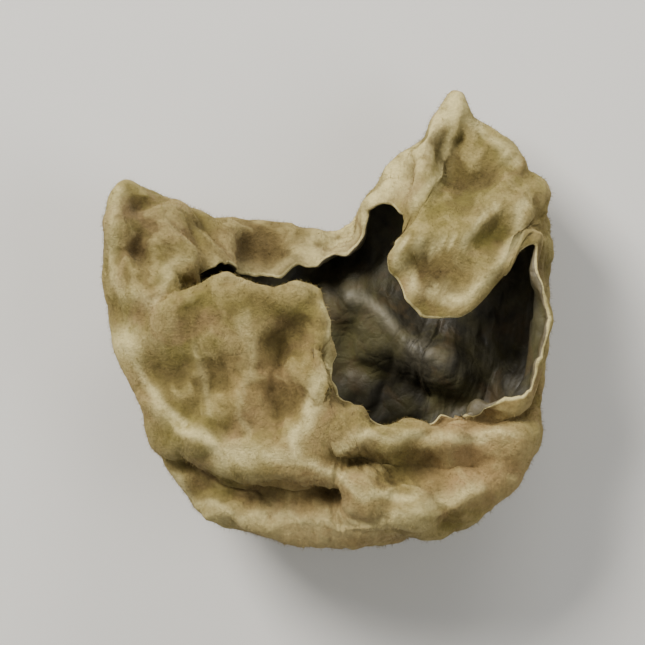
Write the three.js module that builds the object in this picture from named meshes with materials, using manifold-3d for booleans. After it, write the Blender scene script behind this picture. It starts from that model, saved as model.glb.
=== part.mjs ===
// A dried wood ear mushroom: one thin ear that curled up into a squashed pouch as it dried.
// Millimetres, +Z up. It lies on its back on a level surface at z = 0, with its mouth towards +Y
// and its furry side out. The origin is the middle of the flat cut where it was taken off its log.
import * as THREE from "three";
import { mergeVertices } from "three/addons/utils/BufferGeometryUtils.js";
import Module from "manifold-3d";

const { abs, cos, exp, max, min, PI, pow, sign, sin } = Math;
const RIGHT_ANGLE = PI / 2;
const DEGREE = PI / 180;

// The belly of the pouch before it shrivelled. Plan places are measured from the middle of the ear.
const belly = { halfWidth: 10.0, length: 10.9, halfHeight: 4.3, squareness: 2.5, roundness: 2.3 };
const bellyMiddle = new THREE.Vector3(0.2, 1.0, 4.5);

// Its left side is drawn in below the lobe.
const waist = { y: -4.8, spread: 3.4, depth: 1.5 };

// The flesh.
const flesh = { thickness: 0.82, rimThickness: 0.42 };

// The cut where it grew on the log, and the two places where its back touches the surface.
const foot = { x: 0.4, y: -4.4, radius: 1.9, flare: 1.9, below: -0.4 };
const touches = [
  { x: -6.2, y: 2.6, radius: 3.4 },
  { x: 6.4, y: 4.2, radius: 3.4 },
];

// Where the rim runs. Each station's meridian leaves the bottom at its bearing: 0 right, 90 upper
// wall, 180 left, 270 lower wall. It reaches the shoulder at, arches over it by lift and ends at tip.
const rim = [
  { bearing: 15, at: [9.4, -4.0, 5.3], tip: [9.3, -3.3, 6.6], lift: 0.6, puff: 0 },
  { bearing: 26, at: [7.6, -5.2, 6.5], tip: [7.4, -4.2, 6.9], lift: 0.6, puff: 0 },
  { bearing: 37, at: [5.7, -5.6, 7.6], tip: [5.6, -4.7, 7.0], lift: 0.5, puff: 0 },
  { bearing: 48, at: [3.8, -5.6, 8.2], tip: [3.8, -4.9, 7.2], lift: 0.5, puff: 0 },
  { bearing: 59, at: [2.0, -5.3, 8.4], tip: [2.2, -4.6, 7.4], lift: 0.5, puff: 0 },
  { bearing: 69, at: [0.6, -4.3, 8.6], tip: [1.1, -3.7, 7.6], lift: 0.5, puff: 0 },
  { bearing: 78, at: [-0.1, -2.7, 8.7], tip: [0.6, -2.4, 7.7], lift: 0.5, puff: 0 },
  { bearing: 87, at: [-0.3, -0.9, 8.7], tip: [0.3, -0.5, 7.7], lift: 0.5, puff: 0 },
  { bearing: 97, at: [-1.1, 0.3, 8.7], tip: [-0.7, 0.9, 7.6], lift: 0.6, puff: 0 },
  { bearing: 109, at: [-2.7, 1.0, 8.7], tip: [-2.6, 1.6, 7.5], lift: 0.7, puff: 0 },
  { bearing: 122, at: [-4.5, 1.1, 8.6], tip: [-4.3, 1.7, 7.3], lift: 0.7, puff: 0 },
  { bearing: 136, at: [-6.1, 0.8, 8.4], tip: [-5.7, 1.4, 7.1], lift: 0.7, puff: 0 },
  { bearing: 149, at: [-7.5, 0.7, 8.1], tip: [-6.6, 1.2, 7.0], lift: 0.8, puff: 0.1 },
  { bearing: 163, at: [-8.9, 2.1, 7.6], tip: [-6.5, 1.8, 6.9], lift: 0.9, puff: 0.4 },
  { bearing: 177, at: [-10.0, 4.0, 6.4], tip: [-6.0, 2.4, 6.6], lift: 1.3, puff: 0.8 },
  { bearing: 190, at: [-9.8, 5.6, 5.0], tip: [-5.7, 2.9, 6.1], lift: 1.5, puff: 0.8 },
  { bearing: 205, at: [-8.8, 5.9, 3.6], tip: [-5.3, 3.2, 5.4], lift: 1.3, puff: 0.6 },
  { bearing: 224, at: [-6.6, 4.7, 2.5], tip: [-4.6, 3.1, 4.7], lift: 1.0, puff: 0.3 },
  { bearing: 245, at: [-4.0, 4.2, 2.0], tip: [-3.4, 3.0, 4.0], lift: 1.0, puff: 0.3 },
  { bearing: 266, at: [-1.2, 3.8, 1.9], tip: [-1.2, 2.8, 3.8], lift: 1.0, puff: 0.3 },
  { bearing: 280, at: [0.7, 4.0, 2.1], tip: [0.5, 3.3, 3.7], lift: 0.7, puff: 0.2 },
  { bearing: 289, at: [2.2, 5.4, 2.4], tip: [2.0, 4.7, 4.1], lift: 0.6, puff: 0.2 },
  { bearing: 297, at: [3.7, 7.1, 2.8], tip: [3.2, 5.6, 4.9], lift: 0.6, puff: 0.4 },
  { bearing: 303, at: [4.9, 8.7, 3.2], tip: [4.1, 5.3, 5.7], lift: 0.6, puff: 0.7 },
  { bearing: 307, at: [5.7, 9.8, 3.5], tip: [4.2, 4.8, 6.2], lift: 0.7, puff: 0.9 },
  { bearing: 310, at: [6.3, 10.6, 3.7], tip: [4.0, 4.3, 6.4], lift: 0.8, puff: 1.0 },
  { bearing: 313, at: [7.1, 9.6, 3.7], tip: [3.7, 3.8, 6.6], lift: 0.8, puff: 1.1 },
  { bearing: 319, at: [8.2, 8.3, 3.7], tip: [3.6, 3.0, 6.9], lift: 1.2, puff: 1.4 },
  { bearing: 327, at: [9.0, 7.2, 3.7], tip: [4.4, 1.6, 7.1], lift: 1.7, puff: 1.7 },
  { bearing: 336, at: [9.6, 6.2, 3.8], tip: [6.4, 0.6, 7.1], lift: 2.0, puff: 1.8 },
  { bearing: 346, at: [10.1, 5.0, 4.0], tip: [8.5, 2.4, 6.9], lift: 1.7, puff: 1.2 },
  { bearing: 356, at: [10.4, 3.4, 4.4], tip: [9.8, 3.6, 6.4], lift: 1.0, puff: 0.4 },
  { bearing: 366, at: [10.2, -0.4, 4.8], tip: [10.4, 0.0, 6.7], lift: 0.6, puff: 0 },
];

// Crests and hollows on the side that faces up, as paths in plan. A positive height is a crest, a
// negative one a hollow, and width is how far from the path it fades to a seventh.
const folds = [
  // The crest that comes down from the corner of the mouth and runs on under the front to the right.
  { path: [[0.1, -4.8], [-1.0, -5.5], [-1.9, -6.2]], width: 1.0, height: 0.5 },
  {
    path: [[-9.4, -0.9], [-8.6, -3.3], [-6.8, -5.1], [-4.1, -6.2], [-1.9, -6.2], [0.1, -6.9], [1.9, -8.0],
      [4.2, -8.3]],
    width: 0.9,
    height: 0.8,
  },
  // The roll round the bottom.
  {
    path: [[-7.3, -5.6], [-7.2, -7.6], [-6.2, -9.0], [-4.1, -9.7], [3.9, -9.7], [6.7, -8.8], [8.4, -7.2],
      [8.9, -5.2]],
    width: 1.0,
    height: 0.6,
  },
  // The hollows between them.
  { path: [[-6.4, -6.7], [-4.5, -7.8], [-2.0, -7.8], [0.4, -7.9]], width: 1.3, height: -0.75 },
  { path: [[0.4, -6.3], [2.6, -6.5], [5.4, -6.6]], width: 0.8, height: -0.8 },
  { path: [[3.4, -7.3], [7.0, -6.8]], width: 1.0, height: -0.5 },
  // The front of the pouch.
  { path: [[-1.8, -0.4], [-2.2, -1.9], [-1.9, -3.8]], width: 1.4, height: -0.9 },
  { path: [[-5.9, -1.5], [-5.5, -2.7]], width: 1.3, height: -0.5 },
  { path: [[-4.0, 0.4], [-3.6, -1.6], [-3.9, -4.2]], width: 1.0, height: 0.5 },
  // The lobe on the left, and the nick under it.
  { path: [[-10.2, 0.6], [-9.4, 0.4], [-8.7, 0.5]], width: 0.9, height: -0.7 },
  { path: [[-8.5, 4.6], [-8.6, 2.9]], width: 1.3, height: -0.7 },
  // The peak and the tongue on the right.
  { path: [[5.9, 8.0], [6.3, 6.4]], width: 1.2, height: -1.2 },
  { path: [[4.6, 3.9], [6.6, 4.0], [8.6, 5.6]], width: 0.8, height: 1.0 },
  { path: [[4.4, 2.9], [5.8, 2.6]], width: 1.0, height: -1.0 },
];

// A pleat across the back wall, which stands up inside the mouth.
const pleat = { path: [[1.4, 1.2], [2.7, 0.7], [4.0, -0.9], [6.0, -1.8]], width: 1.3, height: -2.0 };

// The mesh of the ear: rings from the closed bottom to the rim, and meridians about the pouch.
const grid = { meridians: 66, wallRings: 27, curlRings: 10 };

// How it shrivelled: how stiffly each fibre keeps its grown length, how much more the flesh grew
// than its form had room for, and how far apart its folds stay.
const drying = {
  sweeps: 220, stretch: 0.9, bend: 0.14, hold: 0.035,
  rimGrowth: 0.16, patchGrowth: 0.07, patchSize: 8, pucker: 0.5, puckerSize: 7, lowest: 0.4,
  gap: 1.05, gapEvery: 8, rounding: 0.5,
};

// The wrinkles left by the last of the drying.
const wrinkle = { depth: 0.3, size: 4.4 };

/** A value at a fractional station along the rim, smooth and without an end. */
function alongRim(place, valueOf) {
  const n = rim.length;
  const i = Math.floor(place);
  const t = place - i;
  const value = (k) => {
    const lap = Math.floor(k / n);
    return valueOf(rim[k - lap * n], lap);
  };
  const [a, b, c, d] = [value(i - 1), value(i), value(i + 1), value(i + 2)];
  return b + 0.5 * t * (c - a + t * (2 * a - 5 * b + 4 * c - d + t * (3 * (b - c) + d - a)));
}

const alongRimPoint = (place, key) =>
  new THREE.Vector3(...[0, 1, 2].map((axis) => alongRim(place, (station) => station[key][axis])));

const power = (x, p) => sign(x) * pow(abs(x), p);

const mean = (points) =>
  points.reduce((sum, p) => sum.add(p), new THREE.Vector3()).divideScalar(points.length);

/** The smooth wall at a place along the rim, rise from 0 at the bottom to 1 at the shoulder. */
function wall(place, rise) {
  const bearing = alongRim(place, (station, lap) => station.bearing + 360 * lap) * DEGREE;
  const climb = rise * RIGHT_ANGLE;
  const out = pow(sin(climb), 2 / belly.squareness);
  const up = -pow(max(cos(climb), 0), 2 / belly.squareness);
  const across = power(cos(bearing), 2 / belly.roundness);
  const over = power(sin(bearing), 2 / belly.roundness);
  const at = (o, u) =>
    new THREE.Vector3(
      bellyMiddle.x + belly.halfWidth * o * across,
      bellyMiddle.y + belly.length * u,
      bellyMiddle.z + belly.halfHeight * o * over,
    );
  const reach = alongRimPoint(place, "at").sub(at(1, 0));
  const p = at(out, up).addScaledVector(reach, pow(rise, 2.2));
  const left = max(-p.x / belly.halfWidth, 0);
  p.x += waist.depth * left * left * exp(-pow((p.y - waist.y) / waist.spread, 2));
  return p;
}

/** The middle of the flesh, as rings of points from the bottom to the end of the rolled rim. */
function middleSurface() {
  const n = grid.meridians;
  const places = Array.from({ length: n }, (_, k) => (rim.length * k) / n);
  const rings = [];
  for (let r = 1; r <= grid.wallRings; r++)
    rings.push(places.map((place) => wall(place, r / grid.wallRings)));
  const shoulder = rings[rings.length - 1];
  const arcs = places.map((place, k) => {
    const tangent = shoulder[(k + 1) % n].clone().sub(shoulder[(k + n - 1) % n]).normalize();
    const up = shoulder[k].clone().sub(wall(place, 0.97));
    up.addScaledVector(tangent, -up.dot(tangent)).normalize();
    const inward = tangent.clone().cross(up);
    const lift = alongRim(place, (station) => station.lift);
    const puff = alongRim(place, (station) => station.puff);
    const tip = alongRimPoint(place, "tip");
    const crest = shoulder[k].clone().addScaledVector(up, lift);
    const over = tip.clone().lerp(crest, 0.6).addScaledVector(inward, puff);
    return new THREE.CubicBezierCurve3(shoulder[k], crest, over, tip);
  });
  for (let c = 1; c <= grid.curlRings; c++)
    rings.push(arcs.map((arc) => arc.getPoint(c / grid.curlRings)));
  return rings;
}

/** Outward unit normals of a set of rings. */
function normalsOf(rings) {
  const n = grid.meridians;
  return rings.map((ring, r) =>
    ring.map((_, k) => {
      const next = rings[min(r + 1, rings.length - 1)][k];
      const last = rings[max(r - 1, 0)][k];
      const along = next.clone().sub(last);
      const around = ring[(k + 1) % n].clone().sub(ring[(k + n - 1) % n]);
      return along.cross(around).normalize();
    }),
  );
}

/** The distance in plan from a point to a path. */
function toPath(p, path) {
  let nearest = Infinity;
  for (let i = 0; i + 1 < path.length; i++) {
    const [ax, ay] = path[i];
    const [bx, by] = path[i + 1];
    const [ux, uy] = [bx - ax, by - ay];
    const t = min(max(((p.x - ax) * ux + (p.y - ay) * uy) / (ux * ux + uy * uy), 0), 1);
    nearest = min(nearest, Math.hypot(p.x - ax - t * ux, p.y - ay - t * uy));
  }
  return nearest;
}

/** Presses the folds into the side that faces up, and the pleat into the back wall. */
function fold(rings) {
  const normals = normalsOf(rings);
  const heightAt = (p, { path, width, height }) => height * exp(-2 * pow(toPath(p, path) / width, 2));
  return rings.map((ring, r) =>
    ring.map((p, k) => {
      const facing = normals[r][k].z;
      const marks = facing > 0 ? folds : [pleat];
      const depth = marks.reduce((sum, mark) => sum + heightAt(p, mark), 0);
      const share = min(2 * abs(facing), 1);
      return p.clone().addScaledVector(normals[r][k], share * depth);
    }),
  );
}

/** A slow swell of noise about 1 high, from a few crossed waves that bend each other. */
function swell(p, size, seed) {
  const k = (2 * PI) / size;
  const bend = 0.9;
  const a = sin(k * (0.8 * p.x + 0.5 * p.y + 0.3 * p.z) + seed + bend * sin(k * 0.7 * p.y + 2 * seed));
  const b = sin(k * (-0.5 * p.x + 0.9 * p.y + 0.4 * p.z) + 1.7 * seed + bend * sin(k * 0.6 * p.x + seed));
  const c = sin(k * (0.3 * p.x - 0.4 * p.y + 1.0 * p.z) + 2.3 * seed + bend * sin(k * 0.8 * p.z - seed));
  return (a + b + c) / 3;
}

/** Pairs of grid points, in batches that share no point, each with a stiffness. */
function fibres(ringCount) {
  const n = grid.meridians;
  const batches = [];
  const add = (stiffness, dr, dk, keep) => {
    const pairs = [];
    for (let r = 0; r + dr < ringCount; r++)
      for (let k = 0; k < n; k++)
        if (keep(r, k)) pairs.push([r, k, r + dr, (k + dk + n) % n]);
    batches.push({ stiffness, pairs });
  };
  for (const half of [0, 1]) {
    add(drying.stretch, 0, 1, (r, k) => k % 2 === half);
    add(drying.stretch, 1, 0, (r, k) => r % 2 === half);
    add(drying.stretch * 0.6, 1, 1, (r, k) => r % 2 === half);
    add(drying.stretch * 0.6, 1, -1, (r, k) => r % 2 === half);
    add(drying.bend, 2, 0, (r, k) => Math.floor(r / 2) % 2 === half);
  }
  for (const third of [0, 1, 2]) add(drying.bend, 0, 2, (r, k) => k % 3 === third);
  return batches;
}

/** The ear after drying: the flesh keeps its grown lengths while it crumples about the first form. */
function shrivel(first) {
  const last = first.length - 1;
  const normals = normalsOf(first);
  const rings = first.map((ring, r) =>
    ring.map((p, k) => {
      const broad = 1 - 2.5 * abs(swell(p, drying.puckerSize, 3.1));
      const small = 1 - 2.5 * abs(swell(p, drying.puckerSize / 2, 5.2));
      const amount = drying.pucker * (broad + 0.5 * small) * min(r / 6, 1);
      return p.clone().addScaledVector(normals[r][k], amount);
    }),
  );
  const growth = (p, r) =>
    1 +
    drying.rimGrowth * pow(r / last, 4) +
    drying.patchGrowth * (0.5 + 0.5 * swell(p, drying.patchSize, 1.3)) * min(r / 6, 1);
  const batches = fibres(first.length).map(({ stiffness, pairs }) => ({
    stiffness,
    pairs: pairs.map(([r, k, s, l]) => ({
      a: rings[r][k],
      b: rings[s][l],
      rest: first[r][k].distanceTo(first[s][l]) * growth(first[r][k], r),
    })),
  }));
  const step = new THREE.Vector3();
  for (let sweep = 0; sweep < drying.sweeps; sweep++) {
    for (const { stiffness, pairs } of batches)
      for (const { a, b, rest } of pairs) {
        step.subVectors(b, a);
        const length = max(step.length(), 1e-6);
        step.multiplyScalar((0.5 * stiffness * (length - rest)) / length);
        a.add(step);
        b.sub(step);
      }
    rings.forEach((ring, r) => ring.forEach((p, k) => p.lerp(first[r][k], drying.hold)));
    if (sweep % drying.gapEvery === 0) keepApart(rings);
    for (const ring of rings) for (const p of ring) p.z = max(p.z, drying.lowest);
  }
  return rings;
}

/** Rounds the kinks between neighbouring grid points. */
function rounded(rings) {
  const n = grid.meridians;
  const last = rings.length - 1;
  const bottom = mean(rings[0]);
  return rings.map((ring, r) =>
    ring.map((p, k) => {
      const beside = [ring[(k + 1) % n], ring[(k + n - 1) % n]];
      const along = r === last ? [] : [r ? rings[r - 1][k] : bottom, rings[r + 1][k]];
      return p.clone().lerp(mean([...beside, ...along]), drying.rounding);
    }),
  );
}

/** Pushes stretches of flesh apart where they would pass through each other. */
function keepApart(rings) {
  const n = grid.meridians;
  const all = rings.flatMap((ring, r) =>
    ring.map((p, k) => ({ p, r, k, push: new THREE.Vector3(), hits: 0 })),
  );
  const step = new THREE.Vector3();
  const gap = drying.gap;
  for (let i = 0; i < all.length; i++)
    for (let j = i + 1; j < all.length; j++) {
      const [a, b] = [all[i], all[j]];
      if (abs(a.p.x - b.p.x) > gap || abs(a.p.y - b.p.y) > gap || abs(a.p.z - b.p.z) > gap) continue;
      const apart = abs(a.k - b.k);
      if (abs(a.r - b.r) < 4 && (min(apart, n - apart) < 4 || a.r < 5)) continue;
      step.subVectors(a.p, b.p);
      const length = step.length();
      if (length > gap) continue;
      step.multiplyScalar((0.5 * (gap - length)) / max(length, 1e-6));
      a.push.add(step);
      b.push.sub(step);
      a.hits++;
      b.hits++;
    }
  for (const { p, push, hits } of all) if (hits) p.addScaledVector(push, 1 / hits);
}

/** Raises the fine wrinkles: narrow crests between broad hollows. */
function wrinkled(rings) {
  const normals = normalsOf(rings);
  return rings.map((ring, r) =>
    ring.map((p, k) => {
      const crest = 0.4 - abs(swell(p, wrinkle.size, 7.7));
      return p.clone().addScaledVector(normals[r][k], 2 * wrinkle.depth * crest * min(r / 4, 1));
    }),
  );
}

/** Falls smoothly from 1 at a distance of 0 to 0 at reach. */
const fade = (distance, reach) => 1 - THREE.MathUtils.smoothstep(distance, 0, reach);

/** Lets the back of the ear sag until it touches the surface in its two places. */
function settle(rings) {
  const normals = normalsOf(rings);
  rings.forEach((ring, r) =>
    ring.forEach((p, k) => {
      if (p.z > bellyMiddle.z || normals[r][k].z > -0.2) return;
      for (const { x, y, radius } of touches)
        p.z += (drying.lowest - p.z) * fade(Math.hypot(p.x - x, p.y - y), radius);
    }),
  );
  return rings;
}

/** Closed skin about the middle surface: outer side, rounded rim, inner side. */
function skin(rings) {
  const normals = rounded(rounded(normalsOf(rings)));
  for (const ring of normals) for (const normal of ring) normal.normalize();
  const n = grid.meridians;
  const positions = [];
  const index = [];
  const last = rings.length - 1;
  const half = (r) => 0.5 * THREE.MathUtils.lerp(flesh.thickness, flesh.rimThickness, pow(r / last, 1.6));
  const put = (p) => positions.push(p.x, p.y, p.z) / 3 - 1;
  const side = (out) =>
    rings.map((ring, r) => ring.map((p, k) => p.clone().addScaledVector(normals[r][k], out * half(r))));
  const outer = side(1);
  outer.forEach((ring, r) =>
    ring.forEach((p, k) => {
      const distance = Math.hypot(p.x - foot.x, p.y - foot.y);
      const onBack = p.z < bellyMiddle.z && normals[r][k].z < 0;
      const stand = onBack ? fade(max(distance - foot.radius, 0), foot.flare) : 0;
      p.z = max(p.z, 0) + (foot.below - max(p.z, 0)) * stand;
    }),
  );
  const edge = rings[last].map((p, k) => {
    const ahead = p.clone().sub(rings[last - 1][k]).normalize();
    return p.clone().addScaledVector(ahead, half(last));
  });
  const courses = [...outer, edge, ...side(-1).reverse()].map((ring) => ring.map(put));
  const outerPole = put(mean(outer[0]));
  const innerPole = put(mean(side(-1)[0]));
  for (let k = 0; k < n; k++) {
    const next = (k + 1) % n;
    index.push(outerPole, courses[0][k], courses[0][next]);
    for (let r = 0; r + 1 < courses.length; r++) {
      index.push(courses[r][k], courses[r + 1][next], courses[r][next]);
      index.push(courses[r][k], courses[r + 1][k], courses[r + 1][next]);
    }
    index.push(courses[courses.length - 1][k], innerPole, courses[courses.length - 1][next]);
  }
  const geometry = new THREE.BufferGeometry();
  geometry.setAttribute("position", new THREE.Float32BufferAttribute(positions, 3));
  geometry.setIndex(index);
  return geometry;
}

const wasm = await Module();
wasm.setup();

/** A closed indexed geometry as a solid. */
function solid(geometry) {
  return new wasm.Manifold(
    new wasm.Mesh({
      numProp: 3,
      vertProperties: new Float32Array(geometry.getAttribute("position").array),
      triVerts: new Uint32Array(geometry.index.array),
    }),
  );
}

/** The ear cut off flat at z = 0, with its origin in the middle of the cut. */
function cutOff(geometry) {
  const depth = 4;
  const block = new THREE.BoxGeometry(4 * belly.halfWidth, 4 * belly.length, depth);
  block.translate(0, 0, -depth / 2);
  block.deleteAttribute("normal");
  block.deleteAttribute("uv");
  const cut = solid(geometry).subtract(solid(mergeVertices(block))).getMesh();
  const made = new THREE.BufferGeometry();
  made.setAttribute("position", new THREE.BufferAttribute(cut.vertProperties, 3));
  made.setIndex(new THREE.BufferAttribute(cut.triVerts, 1));
  made.translate(-foot.x, -foot.y, 0);
  made.computeVertexNormals();
  return made;
}

const group = new THREE.Group();
const ear = new THREE.Mesh(
  cutOff(skin(settle(wrinkled(rounded(rounded(shrivel(fold(middleSurface())))))))),
  new THREE.MeshStandardMaterial({ color: 0x907d4e, roughness: 0.85, metalness: 0 }),
);
ear.name = "ear";
group.add(ear);

export default group;
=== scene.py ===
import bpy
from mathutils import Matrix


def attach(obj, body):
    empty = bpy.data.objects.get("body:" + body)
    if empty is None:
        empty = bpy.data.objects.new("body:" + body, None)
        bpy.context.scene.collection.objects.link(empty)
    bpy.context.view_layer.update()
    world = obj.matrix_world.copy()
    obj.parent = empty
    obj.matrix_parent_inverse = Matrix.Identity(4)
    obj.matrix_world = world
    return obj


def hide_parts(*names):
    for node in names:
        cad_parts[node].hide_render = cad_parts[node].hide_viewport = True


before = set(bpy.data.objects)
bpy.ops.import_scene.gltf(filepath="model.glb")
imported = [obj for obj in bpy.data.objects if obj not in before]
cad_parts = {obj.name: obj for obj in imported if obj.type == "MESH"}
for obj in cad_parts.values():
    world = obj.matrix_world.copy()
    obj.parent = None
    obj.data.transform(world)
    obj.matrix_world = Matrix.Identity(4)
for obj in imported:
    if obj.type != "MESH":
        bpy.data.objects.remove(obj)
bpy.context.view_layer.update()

"""A dried wood ear mushroom lying on its back: a thin crumpled skin with a felted side and a dark side.

The form is worked out in millimetres, from the same sizes as the solid, and is then made much finer.
Meshes are in metres in the part's own frame: +Z up, the origin in the middle of the flat cut.
"""
import logging
import math
from dataclasses import dataclass, field
from enum import Enum
from typing import Any, Callable, Sequence

import bpy
import numpy as np
from mathutils import Vector, noise
from mathutils.bvhtree import BVHTree

log = logging.getLogger("wood_ear")

Array = np.ndarray
Point = tuple[float, float, float]
Plan = tuple[float, float]
Tint = tuple[float, float, float, float]
# Where something begins to rise from 0, and where it reaches 1.
Span = tuple[float, float]
# A round place in plan: its x and y, how far it reaches and how strong or deep it is.
Spot = tuple[float, float, float, float]
# A layer of ridges: how high they are, how far apart, and the seed of their noise.
Layer = tuple[float, float, int]
MM = 0.001
# How finely a net of cracks is bent, and how far from a line it is level again, in meshes.
CRACK_BEND = 0.6
CRACK_LEVELS = (0.0, 0.3)
# How far a seed moves the noise, its scale to about 1, and the height in it that ridges rise from.
SEED_SHIFT = np.array([11.3, 5.7, 8.9])
GRAIN_SCALE = 1.6
RIDGE_LEVEL = 0.35


class Side(Enum):
    """The two sides of the flesh, and the flat cut, by their material slot."""

    FELT = 0
    DARK = 1
    CUT = 2


@dataclass(frozen=True)
class Station:
    """One place along the rim: the meridian's bearing, its shoulder, and the lip it ends in."""

    bearing: float
    at: Point
    tip: Point
    lift: float
    puff: float


@dataclass(frozen=True)
class Fold:
    """A crest (positive height) or a hollow (negative) along a path in plan."""

    path: tuple[Plan, ...]
    width: float
    height: float


@dataclass(frozen=True)
class Drying:
    """How the flesh crumples: its stiffnesses, how strongly the first form holds, and what it keeps to.

    It stays above the lowest height, and folds of it stay a gap apart, which is seen to every few sweeps.
    """

    sweeps: int
    stretch: float
    bend: float
    hold: float
    lowest: float
    gap: float = 0.0
    gap_every: int = 8
    shear_share: float = 0.6


def unit(v: Array) -> Array:
    """Vectors of length 1 along v."""
    return v / np.maximum(np.linalg.norm(v, axis=-1, keepdims=True), 1e-12)


def power(x: Array, p: float) -> Array:
    """x to the power p, with its sign kept."""
    return np.sign(x) * np.abs(x) ** p


def smooth_step(x: Array, low: float, high: float) -> Array:
    """Rises smoothly from 0 at low to 1 at high."""
    t = np.clip((x - low) / (high - low), 0, 1)
    return t * t * (3 - 2 * t)


def fade(distance: Array, reach: float) -> Array:
    """Falls smoothly from 1 at a distance of 0 to 0 at reach."""
    return 1 - smooth_step(distance, 0, reach)


def catmull(a: Array, b: Array, c: Array, d: Array, t: Array) -> Array:
    """The smooth curve through b and c, at t from 0 to 1 between them."""
    return b + 0.5 * t * (c - a + t * (2 * a - 5 * b + 4 * c - d + t * (3 * (b - c) + d - a)))


def swell(p: Array, size: float, seed: float) -> Array:
    """A slow swell of noise about 1 high, from a few crossed waves that bend each other.

    Args:
        p: Points in millimetres.
        size: Length of a wave.
        seed: Any number.

    Returns:
        One height for each point.
    """
    k = 2 * math.pi / size
    x, y, z = p[..., 0], p[..., 1], p[..., 2]
    a = np.sin(k * (0.8 * x + 0.5 * y + 0.3 * z) + seed + 0.9 * np.sin(k * 0.7 * y + 2 * seed))
    b = np.sin(k * (-0.5 * x + 0.9 * y + 0.4 * z) + 1.7 * seed + 0.9 * np.sin(k * 0.6 * x + seed))
    c = np.sin(k * (0.3 * x - 0.4 * y + 1.0 * z) + 2.3 * seed + 0.9 * np.sin(k * 0.8 * z - seed))
    return (a + b + c) / 3


def grain(p: Array, size: float, seed: int, octaves: int = 1) -> Array:
    """Gradient noise from about -1 to 1.

    Args:
        p: Points in millimetres.
        size: Size of its blobs.
        seed: Shifts the pattern.
        octaves: How many finer layers are added, each half as strong.

    Returns:
        One height for each point.
    """
    total = np.zeros(p.shape[:-1])
    for octave in range(octaves):
        at = (p / size * 2**octave + SEED_SHIFT * (seed + 3 * octave)).reshape(-1, 3)
        values = np.fromiter((noise.noise(v) for v in at.tolist()), float, len(at))
        total += values.reshape(p.shape[:-1]) * 0.5**octave
    return total * GRAIN_SCALE


def ridges(p: Array, layers: Sequence[Layer]) -> Array:
    """Narrow ridges between broad hollows, one layer over the other."""
    return sum(height * (RIDGE_LEVEL - np.abs(grain(p, size, seed))) for height, size, seed in layers)


def normals_of(rings: Array) -> Array:
    """Outward unit normals of a set of rings.

    Args:
        rings: Rings of points from the bottom to the rim.

    Returns:
        One normal for each point.
    """
    along = np.concatenate([rings[1:], rings[-1:]]) - np.concatenate([rings[:1], rings[:-1]])
    around = np.roll(rings, -1, 1) - np.roll(rings, 1, 1)
    return unit(np.cross(along, around))


def to_path(p: Array, path: Sequence[Plan]) -> Array:
    """The distance in plan from each point to a path.

    Args:
        p: Points in millimetres.
        path: The corners of the path.

    Returns:
        One distance for each point.
    """
    nearest = np.full(p.shape[:-1], np.inf)
    for a, b in zip(path, path[1:]):
        start, step = np.array(a), np.array(b) - np.array(a)
        off = p[..., :2] - start
        t = np.clip(off @ step / (step @ step), 0, 1)
        nearest = np.minimum(nearest, np.linalg.norm(off - t[..., None] * step, axis=-1))
    return nearest


def from_place(p: Array, x: float, y: float) -> Array:
    """The distance in plan from each point to a place."""
    return np.hypot(p[..., 0] - x, p[..., 1] - y)


def bell(distance: Array) -> Array:
    """A smooth hill, 1 at a distance of 0."""
    return np.exp(-(distance**2))


def rounded(rings: Array, share: float = 0.5, passes: int = 1) -> Array:
    """Rounds the kinks between neighbouring points.

    Args:
        rings: Rings of points, or of vectors, from the closed bottom to the rim.
        share: How far each point moves to the middle of its neighbours.
        passes: How often it does.

    Returns:
        The rounded rings.
    """
    for _ in range(passes):
        beside = np.roll(rings, 1, 1) + np.roll(rings, -1, 1)
        bottom = np.broadcast_to(rings[0].mean(0), rings[:1].shape)
        along = np.concatenate([bottom, rings[:-2]]) + rings[1:]
        middle = np.concatenate([(beside[:-1] + along) / 4, beside[-1:] / 2])
        rings = rings + (middle - rings) * share
    return rings


def placed(name: str, data: bpy.types.ID) -> bpy.types.Object:
    """Puts a new object in the scene.

    Args:
        name: Its name.
        data: Its mesh, light or camera.

    Returns:
        The object.
    """
    made = bpy.data.objects.new(name, data)
    bpy.context.scene.collection.objects.link(made)
    return made


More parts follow.
